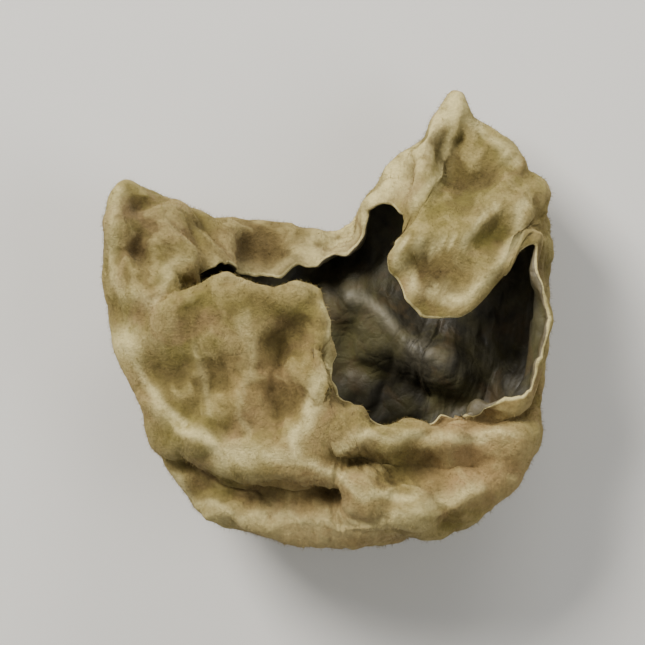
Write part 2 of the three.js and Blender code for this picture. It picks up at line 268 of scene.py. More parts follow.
class Fibres:
    """Pairs of neighbouring grid points in batches that share no point, each with a stiffness."""

    def __init__(self, rows: int, columns: int, drying: Drying) -> None:
        """Lists the pairs of a grid.

        Args:
            rows: How many rings it has.
            columns: How many meridians, a multiple of 6.
            drying: The stiffnesses.
        """
        self.batches: list[tuple[float, Array, Array]] = []
        self.columns = columns
        self.rows = rows
        r, k = np.divmod(np.arange(rows * columns), columns)
        for half in (0, 1):
            self._add(drying.stretch, 0, 1, k % 2 == half)
            self._add(drying.stretch, 1, 0, r % 2 == half)
            self._add(drying.stretch * drying.shear_share, 1, 1, r % 2 == half)
            self._add(drying.stretch * drying.shear_share, 1, -1, r % 2 == half)
            self._add(drying.bend, 2, 0, r // 2 % 2 == half)
        for third in (0, 1, 2):
            self._add(drying.bend, 0, 2, k % 3 == third)

    def _add(self, stiffness: float, dr: int, dk: int, keep: Array) -> None:
        """Adds a batch of pairs.

        Args:
            stiffness: How much of a fibre's stretch one sweep takes back.
            dr: How many rings the two points of a pair lie apart.
            dk: How many meridians they lie apart.
            keep: Which points of the grid start a pair.
        """
        r, k = np.divmod(np.flatnonzero(keep), self.columns)
        r, k = r[r + dr < self.rows], k[r + dr < self.rows]
        ends = (r + dr) * self.columns + (k + dk) % self.columns
        self.batches.append((stiffness, r * self.columns + k, ends))

    def relax(self, start: Array, first: Array, growth: Array, drying: Drying) -> Array:
        """The grid after drying: fibres keep their grown lengths while it crumples about its form.

        Args:
            start: Rings that the drying starts from.
            first: Rings of the form that holds it.
            growth: How much longer the fibres at each point are than the form has room for.
            drying: Its numbers.

        Returns:
            The crumpled rings.
        """
        shape = first.shape
        held, grown = first.reshape(-1, 3), growth.reshape(-1)
        p = start.reshape(-1, 3).copy()
        rest = [np.linalg.norm(held[a] - held[b], axis=1) * grown[a] for _, a, b in self.batches]
        near = self._neighbours() if drying.gap else None
        for sweep in range(drying.sweeps):
            for (stiffness, a, b), length in zip(self.batches, rest):
                step = p[b] - p[a]
                now = np.maximum(np.linalg.norm(step, axis=1), 1e-6)
                step *= (0.5 * stiffness * (now - length) / now)[:, None]
                p[a] += step
                p[b] -= step
            p += (held - p) * drying.hold
            if near is not None and sweep % drying.gap_every == 0:
                self._keep_apart(p, near, drying.gap)
            p[:, 2] = np.maximum(p[:, 2], drying.lowest)
        return p.reshape(shape)

    def _neighbours(self) -> Array:
        """Finds the pairs of points that are so near in the flesh that they may lie close together.

        Returns:
            True for each such pair, and for each pair that another entry already holds.
        """
        r, k = np.divmod(np.arange(self.rows * self.columns), self.columns)
        apart = np.abs(k[:, None] - k)
        apart = np.minimum(apart, self.columns - apart)
        low = np.minimum(r[:, None], r)
        near = (np.abs(r[:, None] - r) < 4) & ((apart < 4) | (low < 5))
        return near | np.tri(len(r), dtype=bool)

    def _keep_apart(self, p: Array, near: Array, gap: float) -> None:
        """Pushes stretches of flesh apart where they would pass through each other.

        Args:
            p: The points, which this moves.
            near: The pairs that may lie close together.
            gap: How far apart the others stay.
        """
        size = (p * p).sum(1)
        close = size[:, None] + size - 2 * p @ p.T < gap * gap
        a, b = np.nonzero(close & ~near)
        step = p[a] - p[b]
        length = np.linalg.norm(step, axis=1)
        step *= (0.5 * (gap - length) / np.maximum(length, 1e-6))[:, None]
        push, hits = np.zeros_like(p), np.zeros(len(p))
        np.add.at(push, a, step)
        np.add.at(push, b, -step)
        np.add.at(hits, a, 1)
        np.add.at(hits, b, 1)
        p += push / np.maximum(hits, 1)[:, None]


def resampled(grid: Array, rows: int, columns: int) -> Array:
    """A grid with its pole as row 0, made finer along smooth curves through its points.

    Args:
        grid: Rows from the pole to the rim, of an even number of meridians.
        rows: How many steps there will be from the pole to the rim.
        columns: How many meridians there will be.

    Returns:
        The finer grid, rows + 1 by columns.
    """
    last = len(grid) - 1
    half = grid.shape[1] // 2
    across = np.roll(grid[2:0:-1], half, 1)
    beyond = np.stack([2 * grid[-1] - grid[-2], 3 * grid[-1] - 2 * grid[-2]])
    padded = np.concatenate([across, grid, beyond])
    at = np.linspace(0, last, rows + 1)
    i = np.minimum(at.astype(int), last - 1)
    t = (at - i)[:, None, None]
    taller = catmull(padded[i + 1], padded[i + 2], padded[i + 3], padded[i + 4], t)
    around = np.arange(columns) * grid.shape[1] / columns
    j = around.astype(int)
    t = (around - j)[None, :, None]
    ring = [np.take(taller, (j + step) % grid.shape[1], axis=1) for step in (-1, 0, 1, 2)]
    return catmull(*ring, t)


@dataclass
class Pouch:
    """The ear as one thin sheet curled into a squashed pouch, in millimetres, before its skin is made."""

    half_width: float = 10.0
    length: float = 10.9
    half_height: float = 4.3
    squareness: float = 2.5
    roundness: float = 2.3
    middle: Point = (0.2, 1.0, 4.5)
    foot: Plan = (0.4, -4.4)
    foot_radius: float = 1.9
    foot_flare: float = 1.9
    foot_below: float = 0.4
    # The drawn-in left side: where along the ear, over what length and how deep.
    waist: tuple[float, float, float] = (-4.8, 3.4, 1.5)
    # The two places in plan where its back touches the surface, each with a radius.
    touches: tuple[tuple[float, float, float], ...] = ((-6.2, 2.6, 3.4), (6.4, 4.2, 3.4))
    meridians: int = 66
    wall_rings: int = 27
    curl_rings: int = 10
    # How late the wall leaves the belly for the shoulder, where its slope there is read, and how far the
    # rim rolls over from the crest to the lip.
    turn_in: float = 2.2
    below_shoulder: float = 0.97
    roll: float = 0.6
    thickness: float = 0.82
    rim_thickness: float = 0.26
    drying: Drying = Drying(sweeps=220, stretch=0.9, bend=0.14, hold=0.035, lowest=0.4, gap=1.05)
    # What it dries from: puckers, and more growth at the rim and in patches, from a few rings up.
    calm_rings: int = 6
    pucker: float = 0.5
    pucker_size: float = 7
    pucker_sharpness: float = 2.5
    rim_growth: float = 0.16
    patch_growth: float = 0.07
    patch_size: float = 8
    # The broad wrinkles of the dried ear.
    wrinkle_height: float = 0.6
    wrinkle_size: float = 4.4
    wrinkle_rings: int = 4
    wrinkle_level: float = 0.4
    rim: tuple[Station, ...] = (
        Station(15, (9.4, -4.0, 5.3), (9.3, -3.3, 6.6), 0.6, 0),
        Station(26, (7.6, -5.2, 6.5), (7.4, -4.2, 6.9), 0.6, 0),
        Station(37, (5.7, -5.6, 7.6), (5.6, -4.7, 7.0), 0.5, 0),
        Station(48, (3.8, -5.6, 8.2), (3.8, -4.9, 7.2), 0.5, 0),
        Station(59, (2.0, -5.3, 8.4), (2.2, -4.6, 7.4), 0.5, 0),
        Station(69, (0.6, -4.3, 8.6), (1.1, -3.7, 7.6), 0.5, 0),
        Station(78, (-0.1, -2.7, 8.7), (0.6, -2.4, 7.7), 0.5, 0),
        Station(87, (-0.3, -0.9, 8.7), (0.3, -0.5, 7.7), 0.5, 0),
        Station(97, (-1.1, 0.3, 8.7), (-0.7, 0.9, 7.6), 0.6, 0),
        Station(109, (-2.7, 1.0, 8.7), (-2.6, 1.6, 7.5), 0.7, 0),
        Station(122, (-4.5, 1.1, 8.6), (-4.3, 1.7, 7.3), 0.7, 0),
        Station(136, (-6.1, 0.8, 8.4), (-5.7, 1.4, 7.1), 0.7, 0),
        Station(149, (-7.5, 0.7, 8.1), (-6.6, 1.2, 7.0), 0.8, 0.1),
        Station(163, (-8.9, 2.1, 7.6), (-6.5, 1.8, 6.9), 0.9, 0.4),
        Station(177, (-10.0, 4.0, 6.4), (-6.0, 2.4, 6.6), 1.3, 0.8),
        Station(190, (-9.8, 5.6, 5.0), (-5.7, 2.9, 6.1), 1.5, 0.8),
        Station(205, (-8.8, 5.9, 3.6), (-5.3, 3.2, 5.4), 1.3, 0.6),
        Station(224, (-6.6, 4.7, 2.5), (-4.6, 3.1, 4.7), 1.0, 0.3),
        Station(245, (-4.0, 4.2, 2.0), (-3.4, 3.0, 4.0), 1.0, 0.3),
        Station(266, (-1.2, 3.8, 1.9), (-1.2, 2.8, 3.8), 1.0, 0.3),
        Station(280, (0.7, 4.0, 2.1), (0.5, 3.3, 3.7), 0.7, 0.2),
        Station(289, (2.2, 5.4, 2.4), (2.0, 4.7, 4.1), 0.6, 0.2),
        Station(297, (3.7, 7.1, 2.8), (3.2, 5.6, 4.9), 0.6, 0.4),
        Station(303, (4.9, 8.7, 3.2), (4.1, 5.3, 5.7), 0.6, 0.7),
        Station(307, (5.7, 9.8, 3.5), (4.2, 4.8, 6.2), 0.7, 0.9),
        Station(310, (6.3, 10.6, 3.7), (4.0, 4.3, 6.4), 0.8, 1.0),
        Station(313, (7.1, 9.6, 3.7), (3.7, 3.8, 6.6), 0.8, 1.1),
        Station(319, (8.2, 8.3, 3.7), (3.6, 3.0, 6.9), 1.2, 1.4),
        Station(327, (9.0, 7.2, 3.7), (4.4, 1.6, 7.1), 1.7, 1.7),
        Station(336, (9.6, 6.2, 3.8), (6.4, 0.6, 7.1), 2.0, 1.8),
        Station(346, (10.1, 5.0, 4.0), (8.5, 2.4, 6.9), 1.7, 1.2),
        Station(356, (10.4, 3.4, 4.4), (9.8, 3.6, 6.4), 1.0, 0.4),
        Station(366, (10.2, -0.4, 4.8), (10.4, 0.0, 6.7), 0.6, 0),
    )
    folds: tuple[Fold, ...] = (
        Fold(((0.1, -4.8), (-1.0, -5.5), (-1.9, -6.2)), 1.0, 0.5),
        Fold(
            ((-9.4, -0.9), (-8.6, -3.3), (-6.8, -5.1), (-4.1, -6.2), (-1.9, -6.2), (0.1, -6.9),
             (1.9, -8.0), (4.2, -8.3)), 0.9, 0.8,
        ),
        Fold(
            ((-7.3, -5.6), (-7.2, -7.6), (-6.2, -9.0), (-4.1, -9.7), (3.9, -9.7), (6.7, -8.8),
             (8.4, -7.2), (8.9, -5.2)), 1.0, 0.6,
        ),
        Fold(((-6.4, -6.7), (-4.5, -7.8), (-2.0, -7.8), (0.4, -7.9)), 1.3, -0.75),
        Fold(((0.4, -6.3), (2.6, -6.5), (5.4, -6.6)), 0.8, -0.8),
        Fold(((3.4, -7.3), (7.0, -6.8)), 1.0, -0.5),
        Fold(((-1.8, -0.4), (-2.2, -1.9), (-1.9, -3.8)), 1.4, -0.9),
        Fold(((-5.9, -1.5), (-5.5, -2.7)), 1.3, -0.5),
        Fold(((-4.0, 0.4), (-3.6, -1.6), (-3.9, -4.2)), 1.0, 0.5),
        Fold(((-10.2, 0.6), (-9.4, 0.4), (-8.7, 0.5)), 0.9, -0.7),
        Fold(((-8.5, 4.6), (-8.6, 2.9)), 1.3, -0.7),
        Fold(((5.9, 8.0), (6.3, 6.4)), 1.2, -1.2),
        Fold(((4.6, 3.9), (6.6, 4.0), (8.6, 5.6)), 0.8, 1.0),
        Fold(((4.4, 2.9), (5.8, 2.6)), 1.0, -1.0),
    )
    pleat: Fold = Fold(((1.4, 1.2), (2.7, 0.7), (4.0, -0.9), (6.0, -1.8)), 1.3, -2.0)

    def along_rim(self, places: Array, value_of: Callable[[Station], Any], lap: float = 0.0) -> Array:
        """A value at fractional stations along the rim, smooth and without an end.

        Args:
            places: Stations, where 1.5 is halfway from the second to the third.
            value_of: Gives the value at a station.
            lap: What a full turn adds to the value.

        Returns:
            The values, one row for each place.
        """
        n = len(self.rim)
        values = np.array([value_of(station) for station in self.rim], float).reshape(n, -1)
        i = np.floor(places).astype(int)
        four = [values[k % n] + lap * (k // n)[:, None] for k in (i - 1, i, i + 1, i + 2)]
        return catmull(*four, (places - i)[:, None])

    def wall(self, places: Array, rise: float) -> Array:
        """One ring of the smooth wall.

        Args:
            places: Stations along the rim.
            rise: How far up it is, from 0 at the bottom to 1 at the shoulder.

        Returns:
            The ring's points.
        """
        bearing = np.radians(self.along_rim(places, lambda s: s.bearing, 360.0))[:, 0]
        climb = rise * math.pi / 2
        out = math.sin(climb) ** (2 / self.squareness)
        up = -(max(math.cos(climb), 0) ** (2 / self.squareness))
        across = self.half_width * power(np.cos(bearing), 2 / self.roundness)
        over = self.half_height * power(np.sin(bearing), 2 / self.roundness)

        def at(o: float, u: float) -> Array:
            """Points of the belly o of the way out and u of the way along."""
            return np.stack([o * across, np.full_like(across, self.length * u), o * over], 1) + self.middle

        reach = self.along_rim(places, lambda s: s.at) - at(1, 0)
        wall = at(out, up) + reach * rise**self.turn_in
        level, spread, depth = self.waist
        left = np.maximum(-wall[:, 0] / self.half_width, 0)
        wall[:, 0] += depth * left * left * np.exp(-(((wall[:, 1] - level) / spread) ** 2))
        return wall

    def middle_surface(self) -> Array:
        """The middle of the flesh before it dries.

        Returns:
            Rings of points from the bottom to the end of the rolled rim.
        """
        places = len(self.rim) * np.arange(self.meridians) / self.meridians
        rings = [self.wall(places, r / self.wall_rings) for r in range(1, self.wall_rings + 1)]
        shoulder = rings[-1]
        tangent = unit(np.roll(shoulder, -1, 0) - np.roll(shoulder, 1, 0))
        up = shoulder - self.wall(places, self.below_shoulder)
        up = unit(up - (up * tangent).sum(1, keepdims=True) * tangent)
        inward = np.cross(tangent, up)
        tip = self.along_rim(places, lambda s: s.tip)
        crest = shoulder + up * self.along_rim(places, lambda s: s.lift)
        over = tip + (crest - tip) * self.roll + inward * self.along_rim(places, lambda s: s.puff)
        for c in range(1, self.curl_rings + 1):
            t = c / self.curl_rings
            s = 1 - t
            rings.append(s**3 * shoulder + 3 * s * s * t * crest + 3 * s * t * t * over + t**3 * tip)
        return np.array(rings)

    def folded(self, rings: Array) -> Array:
        """Presses the folds into the side that faces up, and the pleat into the back wall.

        Args:
            rings: The middle of the flesh.

        Returns:
            The folded rings.
        """
        normals = normals_of(rings)
        facing = normals[..., 2]

        def height(fold: Fold) -> Array:
            """How high a fold stands at each point."""
            return fold.height * np.exp(-2 * (to_path(rings, fold.path) / fold.width) ** 2)

        depth = np.where(facing > 0, sum(height(fold) for fold in self.folds), height(self.pleat))
        share = np.minimum(2 * np.abs(facing), 1)
        return rings + normals * (share * depth)[..., None]

    def shrivelled(self, first: Array) -> Array:
        """The ear after drying: the flesh keeps its grown lengths while it crumples about its form.

        Args:
            first: The folded rings.

        Returns:
            The crumpled rings.
        """
        rows = np.arange(len(first))[:, None]
        calm = np.minimum(rows / self.calm_rings, 1)
        broad = 1 - self.pucker_sharpness * np.abs(swell(first, self.pucker_size, 3.1))
        small = 1 - self.pucker_sharpness * np.abs(swell(first, self.pucker_size / 2, 5.2))
        start = first + normals_of(first) * (self.pucker * (broad + 0.5 * small) * calm)[..., None]
        patches = self.patch_growth * (0.5 + 0.5 * swell(first, self.patch_size, 1.3)) * calm
        growth = 1 + self.rim_growth * (rows / (len(first) - 1)) ** 4 + patches
        fibres = Fibres(len(first), self.meridians, self.drying)
        return fibres.relax(start, first, growth, self.drying)

    def wrinkled(self, rings: Array) -> Array:
        """Raises the broad wrinkles, narrow crests between broad hollows.

        Args:
            rings: The crumpled rings.

        Returns:
            The wrinkled rings.
        """
        calm = np.minimum(np.arange(len(rings))[:, None] / self.wrinkle_rings, 1)
        crest = self.wrinkle_level - np.abs(swell(rings, self.wrinkle_size, 7.7))
        return rings + normals_of(rings) * (self.wrinkle_height * crest * calm)[..., None]

    def settled(self, rings: Array) -> Array:
        """Lets the back of the ear sag until it touches the surface in its two places.

        Args:
            rings: The wrinkled rings, which this changes.

        Returns:
            The same rings.
        """
        under = (rings[..., 2] <= self.middle[2]) & (normals_of(rings)[..., 2] <= -0.2)
        for x, y, radius in self.touches:
            reach = fade(from_place(rings, x, y), radius) * under
            rings[..., 2] += (self.drying.lowest - rings[..., 2]) * reach
        return rings

    def sheet(self) -> Array:
        """The dried sheet.

        Returns:
            Its rings, with the pole as row 0.
        """
        rings = rounded(self.shrivelled(self.folded(self.middle_surface())), passes=2)
        rings = self.settled(self.wrinkled(rings))
        pole = np.broadcast_to(rings[0].mean(0), rings[:1].shape)
        return np.concatenate([pole, rings])


@dataclass
class Crumple:
    """The fine form of the dried flesh: buckles, sharp crests, pits and a ruffled edge, in millimetres."""

    drying: Drying = Drying(sweeps=90, stretch=0.9, bend=0.10, hold=0.045, lowest=0.3)
    rows: int = 111
    columns: int = 396
    # Shares of the way from the bottom to the rim over which relief and buckles begin.
    calm: Span = (0.02, 0.12)
    buckle_calm: Span = (0.05, 0.2)
    nudge: float = 0.22
    nudge_size: float = 1.3
    buckle_growth: float = 0.07
    buckle_size: float = 3.2
    edge_growth: float = 0.09
    edge_reach: Span = (0.8, 1.0)
    buckled_levels: Span = (-0.5, 0.8)
    buckled_rounding: float = 0.4
    # How normals are evened out, and how kinks are found and rounded.
    broad_passes: int = 10
    broad_share: float = 0.8
    kink: Span = (0.25, 0.8)
    kink_passes: int = 3
    kink_rounding: int = 8
    kink_share: float = 0.9
    # How much a point faces up before crests and pits show, and where the thin rim evens relief out.
    upward: Span = (0.05, 0.5)
    thin_rim: Span = (0.88, 0.98)
    thin_rim_calm: float = 0.85
    # How far and how broadly the lines of the relief wander.
    stray: float = 0.5
    stray_size: float = 2.0
    wrinkles: tuple[Layer, ...] = ((0.12, 2.4, 31), (0.10, 1.05, 32), (0.04, 0.55, 33))
    # Wrinkles drawn from the bottom to the rim: their height, the noise's size, the radius and length of the
    # tube that it is read on, and the size of the patches that have them.
    drawn_height: float = 0.12
    drawn_size: float = 1.3
    drawn_round: float = 13.0
    drawn_long: float = 7.0
    drawn_patch: float = 4.0
    # The uneven edge, small and broad: how far it comes and goes, and over what length.
    nibbles: tuple[tuple[float, float], ...] = ((0.3, 1.1), (0.35, 3.0))
    nibble_reach: Span = (0.88, 1.0)
    # The tip of the peak, how far below it the peak begins to narrow, and how strongly.
    apex: Plan = (6.3, 11.2)
    apex_reach: float = 3.2
    pinch: float = 0.55
    crests: tuple[Fold, ...] = (
        Fold(((0.3, 0.9), (0.2, -1.4), (-0.2, -3.2), (-0.9, -4.9), (-1.6, -6.0)), 0.34, 0.38),
        Fold(((-9.0, -0.9), (-8.2, -3.3), (-6.7, -4.9), (-4.5, -6.0), (-1.6, -6.1)), 0.34, 0.38),
        Fold(((-1.6, -6.1), (0.1, -6.9), (2.0, -7.9), (4.4, -8.2)), 0.32, 0.32),
        Fold(((0.6, -5.7), (2.2, -5.4), (5.0, -5.3), (9.2, -5.2)), 0.30, 0.30),
        Fold(((-7.0, -7.4), (-5.9, -8.7), (-3.4, -9.2), (1.0, -9.3), (4.5, -9.0), (7.2, -7.7)), 0.38, 0.30),
        Fold(((4.3, 5.4), (5.4, 6.9), (6.1, 8.6), (6.3, 10.4)), 0.28, 0.36),
        Fold(((9.3, 7.4), (8.0, 8.6), (6.6, 10.0)), 0.30, 0.34),
        Fold(((3.0, 4.0), (3.7, 2.2), (5.9, 0.9), (7.3, 1.6), (8.7, 3.4), (9.6, 5.4)), 0.32, 0.40),
        Fold(((3.4, 3.9), (5.1, 3.6), (6.7, 4.1), (8.2, 5.4)), 0.26, 0.40),
        Fold(((-9.7, 6.2), (-10.0, 3.6), (-9.5, 1.2)), 0.34, 0.22),
        Fold(((-8.9, 1.3), (-7.9, 1.0), (-7.2, 2.1), (-6.2, 3.2)), 0.30, 0.22),
        Fold(((-6.1, -1.0), (-5.2, -2.6), (-5.4, -4.4)), 0.22, 0.12),
        Fold(((-3.6, 0.4), (-3.2, -1.6), (-3.9, -3.6), (-3.5, -5.4)), 0.22, 0.14),
    )
    pit_reach: float = 1.5
    pits: tuple[Spot, ...] = (
        (-6.0, -6.2, 0.8, 0.15), (-5.7, -7.6, 0.8, 0.15), (0.2, -7.9, 0.9, 0.30), (-1.6, 0.2, 0.7, 0.15),
        (-1.7, -1.7, 0.8, 0.22), (-2.2, -3.6, 0.7, 0.15), (5.9, 8.3, 0.8, 0.40), (5.2, 2.9, 0.8, 0.40),
        (7.6, 6.9, 0.7, 0.20), (-8.3, 3.4, 0.8, 0.35), (-8.8, 5.3, 0.6, 0.25), (-8.9, 2.0, 0.5, 0.2),
        (2.0, -6.4, 0.8, 0.10), (-3.0, -8.0, 0.8, 0.15), (3.2, -8.8, 0.7, 0.15), (-3.8, 3.8, 1.2, 0),
        (-1.2, 3.5, 1.0, 0), (-8.0, 4.8, 1.0, 0), (-7.6, 2.9, 0.9, 0), (6.8, 6.2, 1.0, 0),
    )
    # Lines along rims and crests that are painted pale where they face up: painted highlight, with some
    # rubbed wear.
    wear_and_highlight: tuple[Fold, ...] = (
        Fold(((-0.4, 2.9), (1.2, 4.6), (3.2, 6.9), (5.2, 9.2), (6.2, 10.6)), 0.9, 1.0),
        Fold(((-5.0, 2.6), (-2.4, 2.4), (-0.4, 2.9)), 0.4, 0.6),
        Fold(((-4.5, -6.2), (-3.8, -6.3)), 0.7, 1.0),
        Fold(((-9.3, -1.0), (-8.9, -1.4)), 0.7, 1.0),
        Fold(((-5.5, -9.5), (4.2, -9.5)), 0.8, 0.5),
    )

    def buckled(self, sheet: Array) -> Array:
        """Lets the flesh buckle into small folds that its own growth makes.

        Args:
            sheet: The dried sheet with its pole as row 0.

        Returns:
            A sheet twice as fine, buckled.
        """
        rows, columns = 2 * (len(sheet) - 1), 2 * sheet.shape[1]
        fine = resampled(sheet, rows, columns)
        rings = fine[1:]
        share = np.arange(1, rows + 1)[:, None] / rows
        calm = smooth_step(share, *self.buckle_calm)
        nudge = grain(rings, self.nudge_size, 4) * self.nudge * calm
        start = rings + normals_of(rings) * nudge[..., None]
        where = smooth_step(grain(rings, self.buckle_size, 9), *self.buckled_levels)
        patches = self.buckle_growth * where * calm
        growth = 1 + patches + self.edge_growth * smooth_step(share, *self.edge_reach)
        fibres = Fibres(rows, columns, self.drying)
        rings = fibres.relax(start, rings, growth, self.drying)
        return np.concatenate([fine[:1], rounded(rings, self.buckled_rounding)])

    def smooth_normals(self, rings: Array) -> Array:
        """Unit normals that follow the broad form and not the smallest kinks."""
        return unit(rounded(normals_of(rings), self.broad_share, self.broad_passes))

    def eased(self, rings: Array) -> Array:
        """Rounds the sheet where it is kinked too sharply to have a thickness.

        Args:
            rings: Rings of points.

        Returns:
            The eased rings.
        """
        turned = 1 - (normals_of(rings) * self.smooth_normals(rings)).sum(-1, keepdims=True)
        share = rounded(smooth_step(turned, *self.kink), self.kink_share)
        return rings + (rounded(rings, self.kink_share, self.kink_rounding) - rings) * share

    def fine(self, sheet: Array) -> tuple[Array, Array, Array]:
        """The finest sheet with an uneven edge, and the sharp crests and pits that both its sides take.

        Args:
            sheet: The dried sheet with its pole as row 0.

        Returns:
            The rings of its middle, the smooth normals there and how far each point is raised.
        """
        grid = resampled(self.buckled(sheet), self.rows, self.columns)
        rings = grid[1:]
        for _ in range(self.kink_passes):
            rings = self.eased(rings)
        normals = self.smooth_normals(rings)
        share = np.arange(1, self.rows + 1)[:, None] / self.rows
        calm = smooth_step(share, *self.calm)
        drift = np.stack([grain(rings, self.stray_size, seed) for seed in (21, 22, 23)], -1)
        bent = rings + self.stray * drift
        relief = ridges(bent, self.wrinkles) + self.drawn(rings)
        up = smooth_step(normals[..., 2], *self.upward)
        for fold in self.crests:
            distance = to_path(rings + 0.5 * (bent - rings), fold.path)
            relief += up * fold.height * np.exp(-distance / fold.width)
        for x, y, radius, depth in self.pits:
            relief -= up * depth * fade(from_place(bent, x, y), self.pit_reach * radius)
        relief *= 1 - self.thin_rim_calm * smooth_step(share, *self.thin_rim)
        ahead = unit(np.concatenate([rings[1:], rings[-1:]]) - np.concatenate([rings[:1], rings[:-1]]))
        (small, small_size), (broad, broad_size) = self.nibbles
        nibble = grain(rings[-1:], small_size, 41, 2) * small + grain(rings[-1:], broad_size, 42) * broad
        rings = rings + ahead * (nibble * smooth_step(share, *self.nibble_reach))[..., None]
        rings[..., 0] += (self.apex[0] - rings[..., 0]) * self.pinch * self.to_apex(rings)
        return rings, normals, relief * calm

    def drawn(self, rings: Array) -> Array:
        """Fine wrinkles that run from the bottom to the rim, in patches.

        Args:
            rings: The middle sheet's rings.

        Returns:
            How far each point is raised.
        """
        angle = np.linspace(0, 2 * math.pi, rings.shape[1], endpoint=False) + 0 * rings[..., 0]
        along = np.linspace(0, self.drawn_long, len(rings))[:, None] + 0 * angle
        turned = np.stack([self.drawn_round * np.cos(angle), self.drawn_round * np.sin(angle), along], -1)
        patches = smooth_step(grain(rings, self.drawn_patch, 35), -0.5, 0.5)
        return self.drawn_height * patches * (RIDGE_LEVEL - np.abs(grain(turned, self.drawn_size, 34, 2)))

    def to_apex(self, rings: Array) -> Array:
        """Rises from 0 to 1 towards the tip of the peak."""
        return smooth_step(rings[..., 1], self.apex[1] - self.apex_reach, self.apex[1])


class Wire:
    """An output socket that does sums: an expression on wires adds its Math nodes."""

    def __init__(self, tree: bpy.types.NodeTree, socket: bpy.types.NodeSocket) -> None:
        """Wraps an output socket of a node in the tree."""
        self.tree = tree
        self.socket = socket

    def _sum(self, operation: str, *values: Any) -> "Wire":
        """Adds a Math node.

        Args:
            operation: What it does.
            values: What its inputs take, in order: wires or numbers.

        Returns:
            Its result.
        """
        node = self.tree.nodes.new("ShaderNodeMath")
        node.operation = operation
        for socket, value in zip(node.inputs, values):
            if isinstance(value, Wire):
                self.tree.links.new(value.socket, socket)
            else:
                socket.default_value = value
        return Wire(self.tree, node.outputs[0])

    def __add__(self, other: Any) -> "Wire":
        """This plus other."""
        return self._sum("ADD", self, other)

    def __sub__(self, other: Any) -> "Wire":
        """This minus other."""
        return self._sum("SUBTRACT", self, other)

    def __rsub__(self, other: Any) -> "Wire":
        """Other minus this."""
        return self._sum("SUBTRACT", other, self)

    def __mul__(self, other: Any) -> "Wire":
        """This times other."""
        return self._sum("MULTIPLY", self, other)

    def __pow__(self, other: Any) -> "Wire":
        """This to the power other."""
        return self._sum("POWER", self, other)

    __radd__ = __add__
    __rmul__ = __mul__

    def between(self, low: float, high: float) -> "Wire":
        """0 at low and below, 1 at high and above, in a straight line between."""
        share = (self - low) * (1 / (high - low))
        return share._sum("MINIMUM", share._sum("MAXIMUM", share, 0.0), 1.0)


class Graph:
    """A node tree under construction."""

    def __init__(self, tree: bpy.types.NodeTree) -> None:
        """Starts the tree with no nodes in it."""
        self.tree = tree
        self.tree.nodes.clear()

    def node(self, kind: str, settings: dict[str, Any], sockets: dict[Any, Any]) -> bpy.types.Node:
        """Adds a node.

        Args:
            kind: The node's type.
            settings: Its properties, set first.
            sockets: Its inputs by name or number: a Wire is linked and a value is set.

        Returns:
            The node.
        """
        node = self.tree.nodes.new(kind)
        for key, value in settings.items():
            setattr(node, key, value)
        for key, value in sockets.items():
            if isinstance(value, Wire):
                self.tree.links.new(value.socket, node.inputs[key])
            else:
                node.inputs[key].default_value = value
        return node

    def wire(self, kind: str, settings: dict[str, Any], sockets: dict[Any, Any], out: Any = 0) -> Wire:
        """Adds a node and gives one of its outputs."""
        return Wire(self.tree, self.node(kind, settings, sockets).outputs[out])

    def vector(self, operation: str, sockets: dict[Any, Any]) -> Wire:
        """The result of a Vector Math node."""
        return self.wire("ShaderNodeVectorMath", {"operation": operation}, sockets)


@dataclass(frozen=True)
class Blobs:
    """Noise in blobs of about one size, as a mask between two of its levels, with a strength.

    It has some finer layers (detail), a share of each that shows (rough) and a bend of the whole pattern.
    """

    size_mm: float
    detail: float = 2.0
    rough: float = 0.5
    bend: float = 0.0
    levels: Span = (0.0, 1.0)
    strength: float = 1.0


